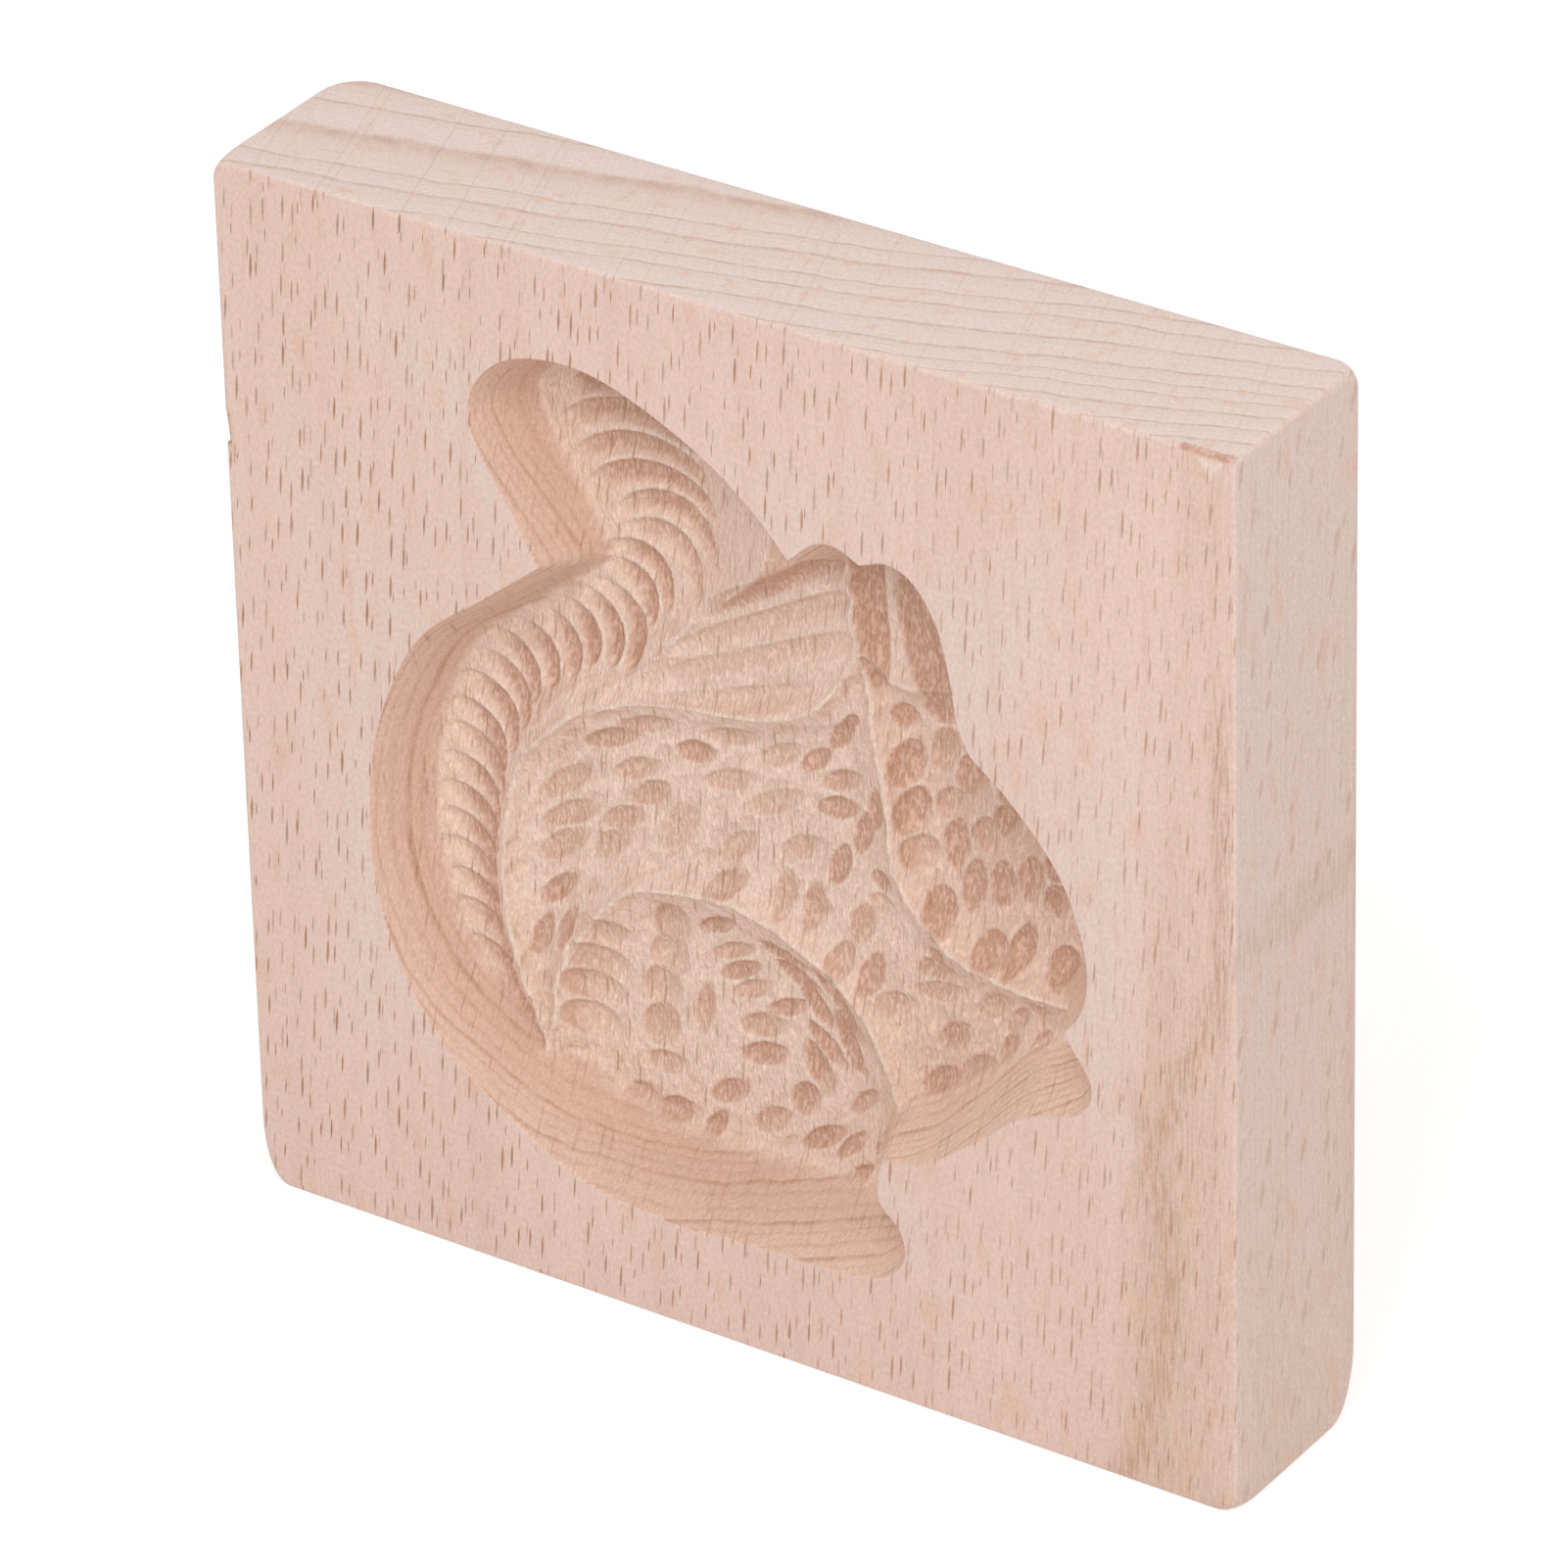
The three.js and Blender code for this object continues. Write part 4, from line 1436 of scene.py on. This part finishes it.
@dataclass(frozen=True)
class Chip:
    """A splinter missing from one edge of the block, cut off flat across the edge."""

    edge: tuple[float, float, float]
    outward: tuple[float, float, float]
    length: float
    bite: float
    tilt: float

    def cut(self, block: bpy.types.Object, bar: float = 3.0) -> None:
        """Takes the splinter off the block.

        Args:
            block: The plain block.
            bar: Thickness of the bar that cuts it off.
        """
        outward = Vector(self.outward).normalized()
        away = Vector(self.edge) + outward * (bar / 2 - self.bite)
        bpy.ops.object.select_all(action="DESELECT")
        bpy.ops.mesh.primitive_cube_add(size=1.0, location=away * MM)
        tool = bpy.context.object
        on_upright_edge = abs(outward.z) < 0.1
        along = Vector((0, 0, 1)) if on_upright_edge else Vector((1, 0, 0))
        along = along + outward * math.tan(math.radians(self.tilt))
        aside = outward.cross(along)
        axes = (along.normalized(), aside.normalized(), along.cross(aside).normalized())
        tool.rotation_euler = Matrix(axes).transposed().to_euler()
        tool.scale = (self.length * MM, 2 * bar * MM, bar * MM)
        bpy.ops.object.transform_apply(location=True, rotation=True, scale=True)
        cut_away(block, tool, "chip")


@dataclass
class MouldBlock:
    """The mould: one beech block with the squirrel carved into its front face, in millimetres."""

    width: float = 105.0
    height: float = 105.0
    thickness: float = 20.0
    front_corners: tuple[float, float, float, float] = (0.8, 2.2, 3.6, 3.0)
    front_corner_rise: tuple[float, float, float, float] = (0.8, 2.2, 9.0, 3.0)
    middle_corner: float = 0.6
    least_corner: float = 0.2
    back_corners: tuple[float, float, float, float] = (3.0, 5.5, 5.0, 6.0)
    back_corner_rise: tuple[float, float, float, float] = (3.0, 5.5, 5.0, 11.0)
    front_reach: float = 4.0
    back_reach: float = 4.0
    front_round: float = 0.3
    back_round: float = 0.5
    left_margin: float = 13.9
    right_margin: float = 14.6
    bottom_margin: float = 10.4
    top_margin: float = 10.0
    drawing_left: float = -38.6
    drawing_right: float = 37.9
    drawing_bottom: float = 10.4
    drawing_top: float = 95.0
    carving_step: float = 0.22
    smooth_angle: float = 60.0
    rim_angle: float = 25.0
    corner_facets: int = 10
    edge_facets: int = 4
    reach_facets: int = 6
    carving: SquirrelCarving = field(default_factory=SquirrelCarving)
    chips: Sequence[Chip] = (
        Chip((49.7, -10.0, 105.0), (0, -1, 1), 5.4, 0.24, 1.5),
        Chip((-52.5, -10.0, 78.4), (-1, -1, 0), 3.2, 0.34, 5.0),
    )

    def build(self, finish: BeechFinish) -> bpy.types.Object:
        """Makes the carved block.

        Args:
            finish: The wood it is made of.

        Returns:
            The finished object.
        """
        relief = self._relief()
        block = self._blank()
        for chip in self.chips:
            chip.cut(block)
        tool = self._carving_tool(relief)
        self._carve(block, tool)
        self._mark(block, relief)
        block.data.materials.clear()
        block.data.materials.append(finish.material())
        block.data.polygons.foreach_set("material_index", np.zeros(len(block.data.polygons), np.int32))
        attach(block, "root")
        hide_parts("mould_block")
        return block

    def _outline(self, inset: float, widths: Sequence[float], rises: Sequence[float]) -> list[Point]:
        """A rectangle with rounded corners, anticlockwise from the upper right one.

        Args:
            inset: How far it stays inside the block's full size.
            widths: How far across each corner's curve reaches, in the same order.
            rises: How far up each corner's curve reaches.

        Returns:
            The outline's points.
        """
        right, top = self.width / 2 - inset, self.height - inset
        corners = ((right, top, 1, 1), (-right, top, -1, 1), (-right, inset, -1, -1), (right, inset, 1, -1))
        points = []
        for turn, ((x, z, sx, sz), width, rise) in enumerate(zip(corners, widths, rises)):
            across, up = max(self.least_corner, width - inset), max(self.least_corner, rise - inset)
            for step in range(self.corner_facets + 1):
                angle = (turn + step / self.corner_facets) * math.pi / 2
                points.append((
                    x - sx * across + across * math.cos(angle), z - sz * up + up * math.sin(angle)
                ))
        return points

    @staticmethod
    def _sanding(away: float, reach: float) -> float:
        """How much of a corner is sanded away: all of it at the face, nothing past its reach.

        Args:
            away: How far the place is from the face.
            reach: How far the sanding reaches.

        Returns:
            The share of the corner's full radius.
        """
        near = min(max(1 - away / reach, 0.0), 1.0)
        return 1 - math.sqrt(1 - near * near)

    def _between(
        self, fronts: Sequence[float], backs: Sequence[float], at_front: float, at_back: float
    ) -> list[float]:
        """The reach of each corner's curve at one place between the faces.

        Args:
            fronts: Reach of each corner at the front face.
            backs: Reach of each corner at the back face.
            at_front: How much of the front's sanding is left here.
            at_back: How much of the back's sanding is left here.

        Returns:
            The reach of each corner.
        """
        middle = self.middle_corner
        return [
            middle + (front - middle) * at_front + (back - middle) * at_back
            for front, back in zip(fronts, backs)
        ]

    def _levels(self, edge_round: float, reach: float) -> list[tuple[float, float]]:
        """The stations behind one face: round its eased edge, then along its corners.

        Args:
            edge_round: Radius of the eased edge.
            reach: How far the corners are sanded.

        Returns:
            For each station, how far it is from the face and from the block's full outline.
        """
        turns = [step / self.edge_facets * math.pi / 2 for step in range(self.edge_facets + 1)]
        levels = [(edge_round * (1 - math.cos(turn)), edge_round * (1 - math.sin(turn))) for turn in turns]
        run = (reach - edge_round) / self.reach_facets
        levels += [(edge_round + run * (step + 1), 0.0) for step in range(self.reach_facets)]
        return levels

    def _stations(self) -> list[tuple[float, list[Point]]]:
        """The block's outline from front to back: its corners are sanded round close to both faces.

        Returns:
            Each station's place and outline.
        """
        half = self.thickness / 2
        levels = [(away - half, inset) for away, inset in self._levels(self.front_round, self.front_reach)]
        behind = self._levels(self.back_round, self.back_reach)
        levels += [(half - away, inset) for away, inset in reversed(behind)]
        stations = []
        for y, inset in levels:
            at_front = self._sanding(half + y, self.front_reach)
            at_back = self._sanding(half - y, self.back_reach)
            widths = self._between(self.front_corners, self.back_corners, at_front, at_back)
            rises = self._between(self.front_corner_rise, self.back_corner_rise, at_front, at_back)
            stations.append((y, self._outline(inset, widths, rises)))
        return stations

    def _blank(self) -> bpy.types.Object:
        """Makes the plain block: the front outline, drawn back from station to station.

        Returns:
            The block before it is carved.
        """
        stations = self._stations()
        level, outline = stations[0]
        bpy.ops.object.select_all(action="DESELECT")
        bpy.ops.mesh.primitive_circle_add(
            vertices=len(outline), radius=self.width / 2 * MM, fill_type="NGON",
            rotation=(math.pi / 2, 0, 0),
        )
        block = bpy.context.object
        block.name = "carved_block"
        bpy.ops.object.transform_apply(location=True, rotation=True, scale=True)
        mesh = block.data
        order = [loop.vertex_index for loop in mesh.loops]
        first, second = (mesh.vertices[index].co for index in order[:2])
        if first.x * second.z - first.z * second.x < 0:
            order.reverse()
        for index, (x, z) in zip(order, outline):
            mesh.vertices[index].co = (x * MM, level * MM, z * MM)
        for following, wider in stations[1:]:
            bpy.ops.object.mode_set(mode="EDIT")
            bpy.ops.mesh.extrude_region_move(TRANSFORM_OT_translate={"value": (0, self.thickness * MM, 0)})
            bpy.ops.object.mode_set(mode="OBJECT")
            ring = np.array(outline) * MM
            for vertex in mesh.vertices:
                if vertex.select:
                    x, z = wider[int(np.hypot(*(ring - (vertex.co.x, vertex.co.z)).T).argmin())]
                    vertex.co = (x * MM, following * MM, z * MM)
            outline = wider
        bpy.ops.object.mode_set(mode="EDIT")
        bpy.ops.mesh.select_all(action="SELECT")
        bpy.ops.mesh.normals_make_consistent(inside=False)
        bpy.ops.object.mode_set(mode="OBJECT")
        return block

    def _to_drawing(self, x: np.ndarray, z: np.ndarray) -> tuple[np.ndarray, np.ndarray]:
        """Turns places on the block into places of the drawing.

        Args:
            x: Places across the block.
            z: Places up the block.

        Returns:
            The same places in the drawing.
        """
        carved_width = self.width - self.left_margin - self.right_margin
        carved_height = self.height - self.bottom_margin - self.top_margin
        spread = carved_width / (self.drawing_right - self.drawing_left)
        rise = carved_height / (self.drawing_top - self.drawing_bottom)
        across = self.drawing_left + (x + self.width / 2 - self.left_margin) / spread
        return across, self.drawing_bottom + (z - self.bottom_margin) / rise

    def _relief(self, overhang: float = 1.5) -> Relief:
        """Reads the carving on a grid that reaches just past its rim.

        Args:
            overhang: How far past the rim the grid reaches.

        Returns:
            The relief.
        """
        left = -self.width / 2 + self.left_margin - overhang
        right = self.width / 2 - self.right_margin + overhang
        low, high = self.bottom_margin - overhang, self.height - self.top_margin + overhang
        columns = round((right - left) / self.carving_step) + 1
        rows = round((high - low) / self.carving_step) + 1
        x, z = np.meshgrid(np.linspace(left, right, columns), np.linspace(low, high, rows))
        depth, stain_and_shade = self.carving.depth(*self._to_drawing(x.ravel(), z.ravel()))
        return Relief(
            left, low, (right - left) / (columns - 1), (high - low) / (rows - 1),
            depth.reshape(x.shape), stain_and_shade.reshape(x.shape),
        )

    def _carving_tool(self, relief: Relief, lift: float = 1.2, body: float = 2.0) -> bpy.types.Object:
        """Makes the solid that cuts the carving: a grid in the shape of the finished relief.

        Args:
            relief: The carving on its grid.
            lift: How far the grid rises in front of the block outside the rim.
            body: How thick the tool is in front of the grid's edge.

        Returns:
            The tool, in front of the block.
        """
        rows, columns = relief.depth.shape
        bpy.ops.object.select_all(action="DESELECT")
        bpy.ops.mesh.primitive_grid_add(
            x_subdivisions=columns - 1, y_subdivisions=rows - 1, size=1.0, rotation=(math.pi / 2, 0, 0)
        )
        tool = bpy.context.object
        tool.name = "carving_tool"
        bpy.ops.object.transform_apply(location=True, rotation=True, scale=True)
        mesh = tool.data
        flat = np.empty(len(mesh.vertices) * 3)
        mesh.vertices.foreach_get("co", flat)
        places = flat.reshape(-1, 3)
        x = relief.left + (places[:, 0] + 0.5) * relief.step_across * (columns - 1)
        z = relief.low + (places[:, 2] + 0.5) * relief.step_up * (rows - 1)
        depth = relief.read(relief.depth, x, z)
        places[:, 0], places[:, 2] = x * MM, z * MM
        places[:, 1] = (np.maximum(depth, -lift) - self.thickness / 2) * MM
        mesh.vertices.foreach_set("co", places.ravel())
        bpy.ops.object.mode_set(mode="EDIT")
        bpy.ops.mesh.select_mode(type="EDGE")
        bpy.ops.mesh.select_all(action="SELECT")
        bpy.ops.mesh.region_to_loop()
        bpy.ops.mesh.extrude_edges_move(TRANSFORM_OT_translate={"value": (0, -body * MM, 0)})
        bpy.ops.mesh.edge_face_add()
        bpy.ops.mesh.select_all(action="SELECT")
        bpy.ops.mesh.normals_make_consistent(inside=False)
        bpy.ops.object.mode_set(mode="OBJECT")
        return tool

    def _carve(self, block: bpy.types.Object, tool: bpy.types.Object) -> None:
        """Cuts the carving out of the block and smooths what is left.

        Args:
            block: The plain block.
            tool: The solid that cuts, which is used up.
        """
        bpy.ops.object.select_all(action="DESELECT")
        block.select_set(True)
        cut_away(block, tool, "carving")
        bpy.ops.object.shade_smooth_by_angle(angle=math.radians(self.smooth_angle))
        shape = bmesh.new()
        shape.from_mesh(block.data)
        front, close, level = -self.thickness / 2 * MM, 1e-6, -0.999
        for edge in shape.edges:
            on_front = {
                abs(face.calc_center_median().y - front) < close and face.normal.y < level
                for face in edge.link_faces
            }
            if len(on_front) == 2 and edge.calc_face_angle(0.0) > math.radians(self.rim_angle):
                edge.smooth = False
        shape.to_mesh(block.data)
        shape.free()

    def _mark(self, block: bpy.types.Object, relief: Relief) -> None:
        """Stores, for the finish to read, the tool marks' darkness, which is torn wood and painted shade,
        and the crests, which get a painted highlight.

        Args:
            block: The carved block.
            relief: The carving on its grid.
        """
        mesh = block.data
        flat = np.empty(len(mesh.vertices) * 3)
        mesh.vertices.foreach_get("co", flat)
        across, back, up = flat.reshape(-1, 3).T / MM
        # The carving stays inside a plain border, and leaves the back of the block whole
        border, skin, left_whole = 8.0, 0.01, 5.0
        carved = (back > skin - self.thickness / 2) & (back < self.thickness / 2 - left_whole)
        carved &= np.abs(across) < self.width / 2 - border
        carved &= np.abs(up - self.height / 2) < self.height / 2 - border
        marks = np.where(carved, relief.read(relief.stain_and_shade, across, up), 0.0)
        crest_highlight = np.where(carved, relief.read(relief.crest(), across, up), 0.0)
        normals = np.empty(len(flat))
        mesh.vertices.foreach_get("normal", normals)
        facing = np.abs(normals.reshape(-1, 3))
        steep = np.where(carved, 1.0 - facing[:, 1], 0.0)
        for name, values in (
            ("tool_marks_and_shade", marks), ("crest_highlight", crest_highlight), ("steep_cut", steep), ("carved", carved),
            ("end_grain", facing[:, 2]), ("side_grain", np.where(carved, 0.0, facing[:, 0])),
        ):
            layer = mesh.attributes.new(name, "FLOAT", "POINT")
            layer.data.foreach_set("value", np.clip(values, -1.0, 1.0).astype(np.float32))


# Studio


@dataclass(frozen=True)
class ViewOfPhoto:
    """The camera, turned and placed so that the block lies in the picture as in the photograph."""

    yaw: float = 34.532
    pitch: float = 30.206
    roll: float = -1.421
    lens: float = 257.85
    sensor: float = 36.0
    aside: float = -0.049736
    above: float = -0.045514
    away: float = 9.337211
    clip_start: float = 0.05
    clip_end: float = 20.0

    def build(self, block: MouldBlock) -> bpy.types.Object:
        """Makes the camera.

        Args:
            block: The mould that it looks at.

        Returns:
            The camera.
        """
        yaw, pitch, roll = (math.radians(a) for a in (self.yaw, self.pitch, self.roll))
        ahead = Vector((-math.sin(yaw), math.cos(yaw), 0))
        forward = ahead * math.cos(pitch) - Vector((0, 0, math.sin(pitch)))
        level = Vector((math.cos(yaw), math.sin(yaw), 0))
        upright = level.cross(forward)
        right = math.cos(roll) * level + math.sin(roll) * upright
        up = math.cos(roll) * upright - math.sin(roll) * level
        unit = block.width * MM
        front = Vector((0, -block.thickness / 2 * MM, block.height / 2 * MM))
        place = front - (right * self.aside + up * self.above + forward * self.away) * unit
        data = bpy.data.cameras.new("photo_view")
        data.lens = self.lens
        data.sensor_width = self.sensor
        data.clip_start = self.clip_start
        data.clip_end = self.clip_end
        camera = bpy.data.objects.new("photo_view", data)
        camera.matrix_world = Matrix((right, up, -forward)).transposed().to_4x4()
        camera.location = place
        bpy.context.scene.collection.objects.link(camera)
        bpy.context.scene.camera = camera
        return camera


@dataclass(frozen=True)
class Softbox:
    """A square studio light that points at the block."""

    name: str
    place: tuple[float, float, float]
    side: float
    power: float

    def build(self, target: Vector) -> bpy.types.Object:
        """Makes the light.

        Args:
            target: What it points at.

        Returns:
            The light.
        """
        data = bpy.data.lights.new(self.name, "AREA")
        data.shape = "SQUARE"
        data.size = self.side
        data.energy = self.power
        light = bpy.data.objects.new(self.name, data)
        light.location = self.place
        light.rotation_euler = (target - Vector(self.place)).to_track_quat("-Z", "Y").to_euler()
        bpy.context.scene.collection.objects.link(light)
        return light


def seen_directly(board: NodeBoard) -> bpy.types.NodeSocket:
    """Tells the rays that show the background from those that light the object.

    Args:
        board: Where the nodes go.

    Returns:
        1 for a ray from the camera, a reflection or a clear body, 0 for the others.
    """
    path = board.node("ShaderNodeLightPath")
    seen = board.math("MAXIMUM", path.outputs["Is Camera Ray"], path.outputs["Is Glossy Ray"])
    return board.math("MAXIMUM", seen, path.outputs["Is Transmission Ray"])


@dataclass(frozen=True)
class Studio:
    """A plain white floor, a soft light from the upper right and a pale room."""

    room_light: float = 0.54
    floor_size: float = 8.0
    floor_paint: float = 0.86
    floor_white: float = 1.08
    shadow: float = 0.35
    boxes: tuple[Softbox, ...] = (
        Softbox("key_light", (0.42, -1.1, 1.25), 0.9, 11.9),
        Softbox("side_light", (1.5, -0.6, 0.5), 0.8, 2.9),
        Softbox("top_light", (0.2, 0.35, 1.6), 0.8, 3.4),
    )

    def build(self, target: Vector) -> None:
        """Makes the floor, the lights and the room.

        Args:
            target: What the lights point at.
        """
        bpy.ops.object.select_all(action="DESELECT")
        bpy.ops.mesh.primitive_plane_add(size=self.floor_size, location=(0, 0, 0))
        floor = bpy.context.object
        floor.name = "floor"
        floor.data.materials.append(self._floor_paint())
        for box in self.boxes:
            box.build(target)
        world = bpy.data.worlds.new("room")
        world.use_nodes = True
        board = NodeBoard(world.node_tree)
        ground = world.node_tree.nodes["Background"]
        strength = board.step(seen_directly(board), 0.0, 1.0, self.room_light, 1.0)
        board.feed(ground.inputs["Strength"], strength)
        ground.inputs["Color"].default_value = (1, 1, 1, 1)
        bpy.context.scene.world = world

    def _floor_paint(self) -> bpy.types.Material:
        """White paint that reads as the white background to the camera, but for the shadow.

        Returns:
            The floor's material.
        """
        made = bpy.data.materials.new("white_floor")
        made.use_nodes = True
        board = NodeBoard(made.node_tree)
        shader = made.node_tree.nodes["Principled BSDF"]
        seen = seen_directly(board)
        pale, shaded = (self.floor_paint,) * 3 + (1,), (self.shadow,) * 3 + (1,)
        board.feed(shader.inputs["Base Color"], board.mix(seen, pale, shaded))
        shader.inputs["Emission Color"].default_value = (1, 1, 1, 1)
        board.feed(shader.inputs["Emission Strength"], board.times(seen, self.floor_white - self.shadow))
        shader.inputs["Roughness"].default_value = 0.9
        shader.inputs["Specular IOR Level"].default_value = 0.0
        return made


def corners(box: Iterable[Vector]) -> list[list[float]]:
    """Turns a box's two corners into plain numbers.

    Args:
        box: Lowest and highest corner.

    Returns:
        The same corners as lists.
    """
    return [[float(value) for value in corner] for corner in box]


def main() -> None:
    """Builds the mould, the studio and the camera, and reports each piece."""
    logging.basicConfig(level=logging.INFO, format="%(name)s: %(message)s")
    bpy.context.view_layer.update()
    block = MouldBlock()
    piece = block.build(BeechFinish())
    LOG.info("%s: %d faces", piece.name, len(piece.data.polygons))
    Studio().build(Vector((0, 0, block.height / 2 * MM)))
    LOG.info("studio: floor and lights")
    ViewOfPhoto().build(block)
    LOG.info("camera: the view of the photograph")
    bpy.context.scene.view_settings.view_transform = "Standard"


if __name__ == "__main__":
    main()
